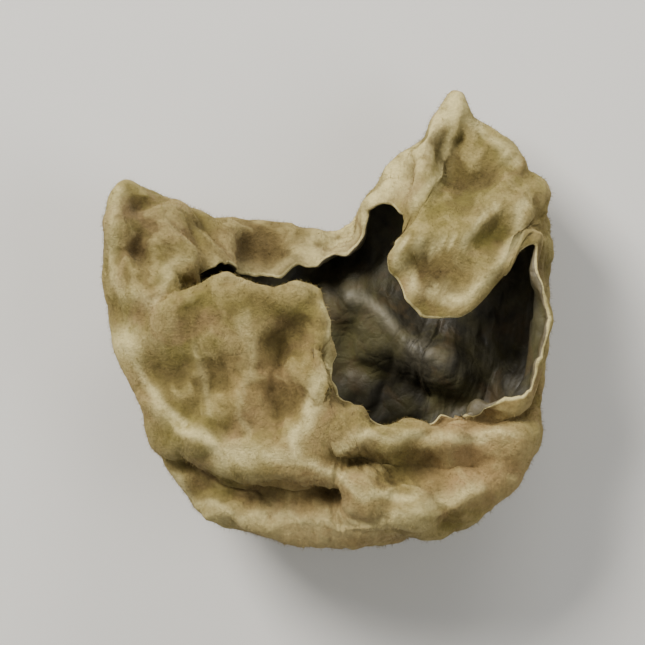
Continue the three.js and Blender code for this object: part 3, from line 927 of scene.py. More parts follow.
class Finish(Graph):
    """A material under construction."""

    def __init__(self, name: str) -> None:
        """Starts a material without a shader.

        Args:
            name: Its name.
        """
        self.material = bpy.data.materials.new(name)
        self.material.use_nodes = True
        super().__init__(self.material.node_tree)

    def attribute(self, name: str) -> Wire:
        """A number that the mesh carries at each point."""
        return self.wire("ShaderNodeAttribute", {"attribute_name": name}, {}, "Fac")

    def place(self) -> Wire:
        """The place on the piece, in metres."""
        return self.wire("ShaderNodeTexCoord", {}, {}, "Object")

    def noise(self, blobs: Blobs) -> Wire:
        """The noise itself, from 0 to 1.

        Args:
            blobs: Its numbers.

        Returns:
            The noise.
        """
        sockets = {
            "Vector": self.place(), "Scale": 1 / (blobs.size_mm * MM), "Detail": blobs.detail,
            "Roughness": blobs.rough, "Distortion": blobs.bend,
        }
        return self.wire("ShaderNodeTexNoise", {}, sockets, "Fac")

    def patches(self, blobs: Blobs) -> Wire:
        """The noise as a mask between its levels."""
        return self.noise(blobs).between(*blobs.levels) * blobs.strength

    def cracks(self, size_mm: float) -> Wire:
        """A net of fine lines.

        Args:
            size_mm: The size of its meshes.

        Returns:
            0 on the lines, and 1 away from them.
        """
        place, size = self.place(), size_mm * MM
        bent = self.wire("ShaderNodeTexNoise", {}, {"Vector": place, "Scale": CRACK_BEND / size}, "Color")
        moved = self.vector("MULTIPLY_ADD", {0: bent, 1: (size,) * 3, 2: place})
        settings = {"feature": "DISTANCE_TO_EDGE"}
        net = self.wire("ShaderNodeTexVoronoi", settings, {"Vector": moved, "Scale": 1 / size}, "Distance")
        return net.between(*CRACK_LEVELS)

    def mix(self, a: Any, b: Any, share: Any, blend: str = "MIX") -> Wire:
        """Colour a with a share of colour b over it."""
        settings = {"data_type": "RGBA", "blend_type": blend}
        return self.wire("ShaderNodeMix", settings, {0: share, 6: a, 7: b}, 2)

    def shade(self, colour: Wire, amount: Wire) -> Wire:
        """A colour made lighter or darker by a number about 1."""
        grey = self.wire("ShaderNodeCombineColor", {}, {0: amount, 1: amount, 2: amount})
        return self.mix(colour, grey, 1.0, "MULTIPLY")

    def bump(self, height: Wire, depth_mm: float, under: Wire | None = None) -> Wire:
        """The normal over a relief.

        Args:
            height: The relief, from 0 to 1.
            depth_mm: How deep it is, in millimetres.
            under: The normal of a relief below it.

        Returns:
            The normal.
        """
        sockets: dict[Any, Any] = {"Height": height, "Distance": depth_mm * MM, "Strength": 1.0}
        if under is not None:
            sockets["Normal"] = under
        return self.wire("ShaderNodeBump", {}, sockets)

    def surface(self, varying: dict[str, Wire], fixed: dict[str, Any]) -> bpy.types.Material:
        """Ends the material in one surface shader.

        Args:
            varying: What changes over the surface.
            fixed: What is the same all over it.

        Returns:
            The material.
        """
        shader = self.node("ShaderNodeBsdfPrincipled", {}, {**fixed, **varying})
        out = self.node("ShaderNodeOutputMaterial", {}, {})
        self.tree.links.new(shader.outputs[0], out.inputs[0])
        return self.material


def tint(red: float, green: float, blue: float) -> Tint:
    """A colour as the shader's linear values.

    Args:
        red: Its red as it looks on a screen, from 0 to 255.
        green: Its green.
        blue: Its blue.

    Returns:
        The colour.
    """
    parts = [x / 255 for x in (red, green, blue)]
    linear = [x / 12.92 if x <= 0.04045 else ((x + 0.055) / 1.055) ** 2.4 for x in parts]
    return (linear[0], linear[1], linear[2], 1.0)


def ranged(numbers: tuple[float, float], share: Wire) -> Wire:
    """The first number plus a share of the second."""
    return numbers[0] + numbers[1] * share


@dataclass(frozen=True)
class Felt:
    """The finish of the felted side: tan down over brown flesh, with painted shade in the hollows, pits and
    given places, and painted highlights with some wear on the crests.
    """

    tan: Tint = tint(128, 112, 66)
    olive: Tint = tint(118, 107, 54)
    rose: Tint = tint(134, 110, 74)
    warm: Tint = tint(160, 130, 88)
    # This brown serves both the painted shade of hollows and pits and the coat's own mottling.
    brown: Tint = tint(70, 56, 27)
    # The next two tints are painted highlight: on the crests, and along the lines of painted highlight and
    # wear.
    crest_highlight_cream: Tint = tint(184, 168, 112)
    pale: Tint = tint(206, 192, 136)
    sheen: Tint = tint(230, 215, 170)
    olive_in: Blobs = Blobs(3.4, 3, 0.6, 0.5, (0.38, 0.6))
    rose_in: Blobs = Blobs(2.6, 3, 0.6, 0.8, (0.52, 0.68), 0.7)
    pale_in: Blobs = Blobs(0.7, 3, 0.6, 0.0, (0.2, 0.5))
    tones: Blobs = Blobs(0.9, 4, 0.65, 0.6)
    specks: Blobs = Blobs(0.16, 2, 0.6)
    tufts: tuple[tuple[Blobs, float], ...] = ((Blobs(0.35, 4, 0.6, 1.0), 0.06), (Blobs(0.11, 3, 0.7), 0.05))
    cracks_mm: float = 0.9
    cracks_deep_mm: float = 0.02
    rough: tuple[float, float] = (0.82, 0.14)
    speckled: tuple[float, float] = (0.7, 0.6)
    warm_share: float = 0.85
    warm_keeps: float = 0.6
    # Painted shade over given places: how much it darkens the coat, and how much it dims the painted
    # highlight there.
    painted_shade_strength: float = 0.5
    painted_shade_dims_highlight: float = 0.6
    # Painted shade in the hollows: where it begins and how strong it is.
    hollow_shade_levels: Span = (0.0, 0.8)
    hollow_shade_share: tuple[float, float] = (0.3, 0.5)
    # Painted shade in the pits: where the noise lets it show, and how strong it is.
    pit_shade_tones: Span = (0.3, 0.6)
    pit_shade_share: float = 0.45
    mottle_tones: Span = (0.52, 0.72)
    mottle_share: float = 0.4
    # Painted highlight on the crests: where it begins, how the noise breaks it up, and how strong it is.
    crest_highlight_levels: Span = (0.4, 1.0)
    crest_highlight_tones: Span = (0.35, 0.65)
    crest_highlight_share: float = 0.5
    # How pale the lines of painted highlight and wear are.
    wear_and_highlight_share: float = 0.85

    def coat(self, finish: Finish) -> Wire:
        """The colour of the down over the whole side.

        Args:
            finish: The material.

        Returns:
            The colour.
        """
        colour = finish.mix(self.tan, self.olive, finish.patches(self.olive_in))
        colour = finish.mix(colour, self.rose, finish.patches(self.rose_in))
        return finish.mix(colour, self.warm, self.warm_share * finish.attribute("warm"))

    def coat_with_painted_light(self, finish: Finish, tones: Wire) -> Wire:
        """The coat's colour, with painted shade in the hollows, pits and given places, and painted highlights
        with some wear on the crests.

        Args:
            finish: The material.
            tones: Noise that breaks the tones up.

        Returns:
            The colour.
        """
        painted_shade = finish.attribute("painted_shade")
        # Painted shade darkens the hollows and the pits towards brown; the mottling after them is the coat's
        # own.
        hollow = finish.attribute("hollow").between(*self.hollow_shade_levels) * ranged(self.hollow_shade_share, tones)
        dim = (
            hollow * (1 - self.warm_keeps * finish.attribute("warm")),
            finish.attribute("deep") * tones.between(*self.pit_shade_tones) * self.pit_shade_share,
            tones.between(*self.mottle_tones) * self.mottle_share,
        )
        # Painted shade darkens the coat over given places.
        colour = finish.shade(self.coat(finish), 1 - self.painted_shade_strength * painted_shade)
        for share in dim:
            colour = finish.mix(colour, self.brown, share)
        # Painted highlight on the crests.
        crest = finish.attribute("crest").between(*self.crest_highlight_levels) * tones.between(*self.crest_highlight_tones)
        colour = finish.mix(colour, self.crest_highlight_cream, crest * self.crest_highlight_share)
        # Pale along the lines of painted highlight and wear, less so in the painted shade.
        wear_and_highlight = finish.attribute("wear_and_highlight") * finish.patches(self.pale_in) * (1 - self.painted_shade_dims_highlight * painted_shade)
        return finish.mix(colour, self.pale, wear_and_highlight * self.wear_and_highlight_share)

    def material(self) -> bpy.types.Material:
        """The material of the felted skin.

        Returns:
            The material.
        """
        finish = Finish("felted_skin")
        tones = finish.noise(self.tones)
        colour = finish.shade(self.coat_with_painted_light(finish, tones), ranged(self.speckled, finish.noise(self.specks)))
        normal = finish.bump(finish.cracks(self.cracks_mm), self.cracks_deep_mm)
        for tuft, depth_mm in self.tufts:
            normal = finish.bump(finish.noise(tuft), depth_mm, normal)
        return finish.surface(
            {"Base Color": colour, "Roughness": ranged(self.rough, tones), "Normal": normal},
            {"Sheen Weight": 0.1, "Sheen Roughness": 0.45, "Sheen Tint": self.sheen,
             "Specular IOR Level": 0.25},
        )


@dataclass(frozen=True)
class Satin:
    """The finish of the dark side: smooth near-black flesh with a dull shine, dusty patches, and a pale line
    of dust and painted highlight along its fold.
    """

    black: Tint = tint(46, 42, 29)
    brown: Tint = tint(80, 66, 42)
    olive: Tint = tint(86, 81, 50)
    # A pale tone for dust, and for dust with painted highlight along the fold across the dark side.
    dust_and_highlight: Tint = tint(128, 122, 102)
    edge: Tint = tint(88, 78, 52)
    olive_in: Blobs = Blobs(3.0, 3, 0.6, 0.4, (0.42, 0.62))
    brown_in: Blobs = Blobs(1.6, 4, 0.6, 0.8, (0.5, 0.7), 0.8)
    dust_in: Blobs = Blobs(0.7, 4, 0.7, 0.0, (0.35, 0.7), 0.25)
    shine: Blobs = Blobs(1.1, 3, 0.6)
    grain: Blobs = Blobs(0.16, 4, 0.65, 0.4)
    grain_deep_mm: float = 0.035
    veins_mm: float = 0.8
    veins_deep_mm: float = 0.03
    rough: tuple[float, float] = (0.46, 0.3)
    dust_levels: Span = (0.2, 1.0)
    wear_and_highlight_share: float = 0.8
    edge_levels: Span = (0.4, 1.0)
    edge_share: float = 0.7

    def material(self) -> bpy.types.Material:
        """The material of the dark skin.

        Returns:
            The material.
        """
        finish = Finish("dark_skin")
        layers = (
            (self.brown, finish.patches(self.brown_in)),
            (self.dust_and_highlight, finish.attribute("crest").between(*self.dust_levels) * finish.patches(self.dust_in)),
            (self.dust_and_highlight, finish.attribute("wear_and_highlight") * self.wear_and_highlight_share),
            (self.edge, finish.attribute("edge").between(*self.edge_levels) * self.edge_share),
        )
        colour = finish.mix(self.black, self.olive, finish.patches(self.olive_in))
        for tone, share in layers:
            colour = finish.mix(colour, tone, share)
        normal = finish.bump(finish.cracks(self.veins_mm), self.veins_deep_mm)
        normal = finish.bump(finish.noise(self.grain), self.grain_deep_mm, normal)
        rough = ranged(self.rough, finish.noise(self.shine))
        return finish.surface(
            {"Base Color": colour, "Roughness": rough, "Normal": normal},
            {"Coat Weight": 0.06, "Coat Roughness": 0.3, "Specular IOR Level": 0.4},
        )


@dataclass(frozen=True)
class CutFlesh:
    """The finish of the flat cut: pale fibrous flesh with darker strands."""

    pale: Tint = tint(170, 142, 100)
    dark: Tint = tint(96, 72, 46)
    fibres: Blobs = Blobs(0.25, 5, 0.7, 1.2)
    fibres_deep_mm: float = 0.08
    dark_levels: Span = (0.4, 0.7)
    rough: tuple[float, float] = (0.85, 0.1)

    def material(self) -> bpy.types.Material:
        """The material of the cut.

        Returns:
            The material.
        """
        finish = Finish("cut_flesh")
        fibres = finish.noise(self.fibres)
        colour = finish.mix(self.pale, self.dark, fibres.between(*self.dark_levels))
        normal = finish.bump(fibres, self.fibres_deep_mm)
        return finish.surface(
            {"Base Color": colour, "Roughness": ranged(self.rough, fibres), "Normal": normal},
            {"Specular IOR Level": 0.2},
        )


@dataclass(frozen=True)
class Down:
    """The finish of the hairs: the felt's colour under them, with its painted light and shade, a little paler
    in patches.
    """

    felt: Felt = Felt()
    pale: Tint = tint(160, 144, 92)
    pale_in: Blobs = Blobs(0.6, 3, 0.6, 0.0, (0.3, 0.7), 0.25)
    dull: Blobs = Blobs(0.3)
    rough: tuple[float, float] = (0.75, 0.15)

    def material(self) -> bpy.types.Material:
        """The material of the hairs.

        Returns:
            The material.
        """
        finish = Finish("down")
        own = self.felt.coat_with_painted_light(finish, finish.noise(self.felt.tones))
        # The hairs stay less pale in the painted shade of the pits.
        paler = finish.patches(self.pale_in) * (1 - finish.attribute("deep"))
        colour = finish.mix(own, self.pale, paler)
        return finish.surface(
            {"Base Color": colour, "Roughness": ranged(self.rough, finish.noise(self.dull))},
            {"Specular IOR Level": 0.3},
        )


@dataclass
class EarSkin:
    """The closed skin of the ear: felted side, rounded edge, dark side and the flat cut it stands on."""

    pouch: Pouch = field(default_factory=Pouch)
    crumple: Crumple = field(default_factory=Crumple)
    edge_courses: int = 3
    least_thickness: float = 0.16
    # Where the felted side doesn't cover the dark side: the thickness there, how far the cover is looked
    # for (a length, and a multiple of the thickness), and how wide around it is evened out.
    tucked_thickness: float = 0.08
    cover_reach: tuple[float, float] = (0.02, 1.8)
    cover_edge: int = 4
    cover_widens: float = 3
    rounding: float = 0.8
    # How late the flesh thins to the rim, how much it thins at the peak, and how much of the relief
    # shows on the dark side.
    thinning: float = 1.6
    thin_peak: float = 0.5
    inner_relief: float = 0.4
    # How near folds are looked for, from just off the sheet, and what share of the way to one is filled.
    sheet_clear: float = 0.04
    room_reach: float = 2.3
    room_share: float = 0.42
    # Heights level off from the shoulder up, and stay under the top.
    shoulder: float = 8.3
    top: float = 9.35
    veins: tuple[Layer, ...] = ((0.10, 1.5, 51), (0.05, 0.7, 52))
    # The fold that runs across the dark side, and its pale line of dust and painted highlight.
    flap_width: float = 0.3
    flap_height: float = 0.35
    flap_facing: Span = (0.1, 0.5)
    dust_and_highlight_width: float = 0.24
    # What counts as a crest and as a hollow: how wide the surroundings are and how far from them.
    crest_scale: tuple[int, float] = (14, 0.06)
    hollow_scale: tuple[int, float] = (90, 0.22)
    # How much faces up, where the back begins, how wide the edge is, how far and over what size the lines of
    # painted highlight and wear wander, and how much narrower and stronger they are than the crests they run
    # on.
    up_levels: Span = (0.0, 0.5)
    back_from: float = -0.2
    edge_band: float = 0.8
    wear_and_highlight_stray: tuple[float, float] = (0.3, 1.2)
    crest_wear_and_highlight: tuple[float, float] = (0.8, 2.6)
    # Where the down is thin: near the surface, at the edge and in patches.
    bare_height: float = 0.05
    bare_edge: float = 0.7
    least_down: float = 0.35
    flap: tuple[Plan, ...] = (
        (1.4, 1.2), (2.1, 1.05), (2.8, 0.5), (3.4, -0.3), (4.1, -1.0), (5.0, -1.55), (6.0, -1.7),
    )
    warm_places: tuple[Spot, ...] = (
        (6.8, -5.9, 2.6, 0.9), (-3.0, 3.6, 2.4, 0.5), (0.0, -9.4, 3.5, 0.7), (-2.5, -3.0, 2.0, 0.5),
    )
    # Places in plan where the felted side is darkened with painted shade.
    painted_shade_places: tuple[Spot, ...] = (
        (-3.2, 4.0, 2.8, 0.9), (-0.6, 3.4, 1.6, 0.7), (-8.4, 4.4, 2.4, 0.65), (9.9, 2.5, 2.0, 0.6),
        (7.2, 6.4, 2.2, 0.4),
    )

    def in_frame(self, p: Array) -> Array:
        """Points in metres in the part's frame."""
        return (p - np.array([*self.pouch.foot, 0.0])) * MM

    def sides(self, rings: Array, normals: Array, relief: Array) -> tuple[Array, Array, Array, Array]:
        """The two sides of the flesh about its fine middle sheet.

        Args:
            rings: The middle sheet's rings.
            normals: Its smooth normals.
            relief: How far both sides are raised at each point.

        Returns:
            The felted side, the dark side, the edge's courses and where the felted side was cut.
        """
        pouch = self.pouch
        share = np.arange(1, len(rings) + 1)[:, None, None] / len(rings)
        half = 0.5 * (pouch.thickness + (pouch.rim_thickness - pouch.thickness) * share**self.thinning)
        half = half * (1 - self.thin_peak * self.crumple.to_apex(rings)[..., None])
        sheet = BVHTree.FromPolygons(rings.reshape(-1, 3).tolist(), self.faces(*rings.shape[:2], False))
        over, under = self.room(sheet, rings, normals, half), self.room(sheet, rings, -normals, half)
        flap = bell(to_path(rings, self.flap) / self.flap_width)
        flap = flap * smooth_step(-normals[..., 2], *self.flap_facing)
        calm = smooth_step(share[..., 0], *self.crumple.calm)
        raised = relief[..., None]
        inside = calm * (ridges(rings, self.veins) + self.flap_height * flap)
        inside = self.inner_relief * raised - inside[..., None]
        lower = inside * under / half - under
        upper = raised * np.where(raised > 0, over, under) / half + over
        felt = self.capped(rings + normals * np.maximum(upper, lower + self.least_thickness))
        dark = self.tucked(felt, self.capped(rings + normals * lower), normals)
        cut = self.stood(felt, normals)
        return felt, dark, self.rounded_edge(unit(rings[-1] - rings[-2]), felt[-1], dark[-1]), cut

    def stood(self, felt: Array, normals: Array) -> Array:
        """Presses the felted side flat where the ear stands on its cut.

        Args:
            felt: The felted side, which this changes.
            normals: The smooth normals.

        Returns:
            Which of its points lie on the cut.
        """
        pouch = self.pouch
        away = from_place(felt, *pouch.foot)
        on_back = (felt[..., 2] < pouch.middle[2]) & (normals[..., 2] < 0)
        stand = fade(np.maximum(away - pouch.foot_radius, 0), pouch.foot_flare) * on_back
        low = np.maximum(felt[..., 2], 0)
        low = low + (-pouch.foot_below - low) * stand
        felt[..., 2] = np.maximum(low, 0)
        return low < 0.0

    def rounded_edge(self, ahead: Array, felt: Array, dark: Array) -> Array:
        """The courses of the edge, in a half round from one side to the other.

        Args:
            ahead: Unit vectors out over the edge.
            felt: The felted side's last ring.
            dark: The dark side's last ring.

        Returns:
            The courses, from the felted side on.
        """
        middle, half = (felt + dark) / 2, (felt - dark) / 2
        out = np.linalg.norm(half, axis=-1, keepdims=True) * ahead
        angles = [math.pi * c / (self.edge_courses + 1) for c in range(1, self.edge_courses + 1)]
        return np.array([middle + half * math.cos(a) + out * math.sin(a) for a in angles])

    def tucked(self, felt: Array, dark: Array, normals: Array) -> Array:
        """The dark side, moved close under the felted side where that doesn't cover it.

        Args:
            felt: The felted side.
            dark: The dark side.
            normals: Unit vectors from the dark side to the felted side.

        Returns:
            The dark side.
        """
        cover = BVHTree.FromPolygons(felt.reshape(-1, 3).tolist(), self.faces(*felt.shape[:2], False))
        spare, share = self.cover_reach
        reach = share * np.linalg.norm(felt - dark, axis=-1) + spare
        rays = zip(dark.reshape(-1, 3).tolist(), normals.reshape(-1, 3).tolist(), reach.ravel().tolist())
        bare = np.array([cover.ray_cast(*ray)[3] is None for ray in rays], float).reshape(*dark.shape[:2], 1)
        bare[-self.cover_edge:] = 0
        for _ in range(2):
            bare = np.minimum(self.cover_widens * rounded(bare, self.rounding), 1)
        return dark + (felt - self.tucked_thickness * normals - dark) * bare

    def capped(self, p: Array) -> Array:
        """Lets heights level off towards the top of the solid.

        Args:
            p: Points, which this changes.

        Returns:
            The same points.
        """
        over = np.maximum(p[..., 2] - self.shoulder, 0)
        spare = self.top - self.shoulder
        p[..., 2] += spare * np.tanh(over / spare) - over
        return p

    def room(self, sheet: BVHTree, rings: Array, towards: Array, half: Array) -> Array:
        """How thick the flesh may be on one side of its middle before it meets another fold of it.

        Args:
            sheet: The whole middle sheet.
            rings: Its points.
            towards: Unit vectors to the side.
            half: How thick it is where nothing is near.

        Returns:
            The thickness at each point, in the shape of half.
        """
        full = np.broadcast_to(half, (*rings.shape[:2], 1)).reshape(-1)
        start = (rings + self.sheet_clear * towards).reshape(-1, 3).tolist()
        room = full.copy()
        for i, (point, ray) in enumerate(zip(start, towards.reshape(-1, 3).tolist())):
            distance = sheet.ray_cast(point, ray, self.room_reach * full[i])[3]
            if distance is not None:
                room[i] = min(full[i], self.room_share * (distance + self.sheet_clear))
        room = room.reshape(*rings.shape[:2], 1)
        for _ in range(3):
            room = np.minimum(room, rounded(room, 0.9))
        return rounded(room)

    def relief(self, rings: Array, outward: Array, passes: int, depth: float) -> Array:
        """How far each point stands above its surroundings (up to 1) or below them (down to -1)."""
        broad = rounded(rings, self.rounding, passes)
        return np.tanh(((rings - broad) * outward).sum(-1) / depth)

    def build(self) -> bpy.types.Object:
        """Makes the skin as one mesh, with what its finishes read at each point.

        Returns:
            The object.
        """
        felt, dark, courses, cut = self.sides(*self.crumple.fine(self.pouch.sheet()))
        rows, columns = felt.shape[:2]
        rings = np.concatenate([felt, courses, dark[::-1]])
        poles = np.stack([felt[0].mean(0), dark[0].mean(0)])
        points = np.concatenate([rings.reshape(-1, 3), poles])
        mesh = bpy.data.meshes.new("ear_skin")
        mesh.from_pydata(self.in_frame(points).tolist(), [], self.faces(len(rings), columns))
        self.mark_sides(mesh, rows, columns, cut)
        self.carry(mesh, felt, dark, courses)
        mesh.shade_smooth()
        for finish in (Felt(), Satin(), CutFlesh()):
            mesh.materials.append(finish.material())
        return placed("ear_skin", mesh)

    @staticmethod
    def faces(count: int, columns: int, closed: bool = True) -> list[tuple[int, ...]]:
        """The faces between the rings, and the fans that close them at the two poles.

        Args:
            count: How many rings there are.
            columns: How many points each has.
            closed: Whether the ends are closed by two poles, which follow the rings' points.

        Returns:
            The faces, pointing out.
        """
        turn = [(k, (k + 1) % columns) for k in range(columns)]
        made: list[tuple[int, ...]] = []
        for r in range(count - 1):
            a, b = r * columns, (r + 1) * columns
            made.extend((a + k, b + k, b + n, a + n) for k, n in turn)
        if closed:
            end, pole = (count - 1) * columns, count * columns
            made = [(pole, k, n) for k, n in turn] + made
            made.extend((pole + 1, end + n, end + k) for k, n in turn)
        return made

    def mark_sides(self, mesh: bpy.types.Mesh, rows: int, columns: int, cut: Array) -> None:
        """Gives each face its side's material slot.

        Args:
            mesh: The skin.
            rows: How many rings the felted side has.
            columns: How many meridians there are.
            cut: Which points of the felted side lie on the flat cut.
        """
        bands = 2 * rows + self.edge_courses - 1
        slots = np.full((bands, columns), Side.DARK.value)
        slots[: rows + 1] = Side.FELT.value
        flat = cut & np.roll(cut, -1, 1)
        slots[: rows - 1][flat[:-1] & flat[1:]] = Side.CUT.value
        first, last = np.full(columns, Side.FELT.value), np.full(columns, Side.DARK.value)
        mesh.polygons.foreach_set("material_index", np.concatenate([first, slots.ravel(), last]))

    def wear_and_highlight(self, felt: Array, up: Array) -> Array:
        """How pale the crests are painted: painted highlight where they face up, with some rubbed wear.

        Args:
            felt: The felted side.
            up: How much each point faces up.

        Returns:
            1 where they are palest, down to 0.
        """
        narrower, stronger = self.crest_wear_and_highlight
        lines = [Fold(f.path, narrower * f.width, stronger * f.height) for f in self.crumple.crests]
        lines.extend(self.crumple.wear_and_highlight)
        wear_and_highlight = np.zeros(felt.shape[:2])
        far, size = self.wear_and_highlight_stray
        stray = far * np.stack([grain(felt, size, 72), grain(felt, size, 73), 0 * wear_and_highlight], -1)
        for fold in lines:
            line = fold.height * bell(to_path(felt + stray, fold.path) / fold.width)
            wear_and_highlight = np.maximum(wear_and_highlight, up * line)
        return wear_and_highlight

    def dust_and_highlight(self, dark: Array, inward: Array) -> Array:
        """How pale the fold across the dark side is: dust, and painted highlight where it faces up.

        Args:
            dark: The dark side.
            inward: Its unit normals.

        Returns:
            1 where it is palest, down to 0.
        """
        line = bell(to_path(dark, self.flap) / self.dust_and_highlight_width)
        line = line * smooth_step(grain(dark, 0.9, 71), -0.6, 0.3)
        return line * smooth_step(inward[..., 2], 0.0, 0.4)

    @staticmethod
    def near(felt: Array, places: tuple[Spot, ...]) -> Array:
        """How near each felted point is to any of some places in plan.

        Args:
            felt: The felted side.
            places: The places.

        Returns:
            A place's strength in its middle, down to 0.
        """
        shares = [
            strength * np.exp(-((felt[..., 0] - x) ** 2 + (felt[..., 1] - y) ** 2) / reach**2)
            for x, y, reach, strength in places
        ]
        return np.max(shares, 0)

    def carry(self, mesh: bpy.types.Mesh, felt: Array, dark: Array, courses: Array) -> None:
        """Writes what the finishes and the hairs read at each point.

        Args:
            mesh: The skin.
            felt: The felted side.
            dark: The dark side.
            courses: The rounded edge.
        """
        rows, columns = felt.shape[:2]
        outward = unit(rounded(normals_of(felt)))
        inward = -unit(rounded(normals_of(dark)))
        step = np.linalg.norm(np.diff(felt, axis=0), axis=-1)
        to_edge = np.concatenate([np.cumsum(step[::-1], 0)[::-1], np.zeros((1, columns))])
        edge = bell(to_edge / self.edge_band)
        up = smooth_step(outward[..., 2], *self.up_levels)
        # Painted shade in the pits that face up.
        deep = np.zeros((rows, columns))
        for x, y, radius, _ in self.crumple.pits:
            pit = fade(from_place(felt, x, y), self.crumple.pit_reach * radius)
            deep = np.maximum(deep, up * pit)
        broken = smooth_step(grain(felt, 1.4, 61, 2), -0.5, 0.5)
        thick = self.least_down + (1 - self.least_down) * broken
        down = (1 - self.bare_edge * edge) * thick * (felt[..., 2] > self.bare_height)
        off, ones, none = np.zeros((rows, columns)), np.ones((len(courses), columns)), 0 * courses[..., 0]
        # The hollow, pit and place darkening below is painted shade; the pale lines are painted highlight
        # with wear on the felted side, and dust with painted highlight on the dark side.
        values = {
            "crest": [self.relief(felt, outward, *self.crest_scale), none,
                      self.relief(dark, inward, *self.crest_scale)],
            "hollow": [-self.relief(felt, outward, *self.hollow_scale), none,
                       -self.relief(dark, inward, *self.hollow_scale)],
            "edge": [edge, ones, edge],
            "warm": [self.near(felt, self.warm_places) * (outward[..., 2] > self.back_from), none, off],
            "painted_shade": [self.near(felt, self.painted_shade_places) * up, none, off],
            "wear_and_highlight": [self.wear_and_highlight(felt, up), ones, self.dust_and_highlight(dark, inward)],
            "deep": [deep, none, off],
            "down": [down, none, off],
        }
        for name, (on_felt, on_edge, on_dark) in values.items():
            layer = np.concatenate([on_felt, on_edge, on_dark[::-1]]).ravel()
            ends = [on_felt[0].mean(), on_dark[0].mean()]
            attribute = mesh.attributes.new(name, "FLOAT", "POINT")
            attribute.data.foreach_set("value", np.concatenate([layer, ends]).astype(np.float32))


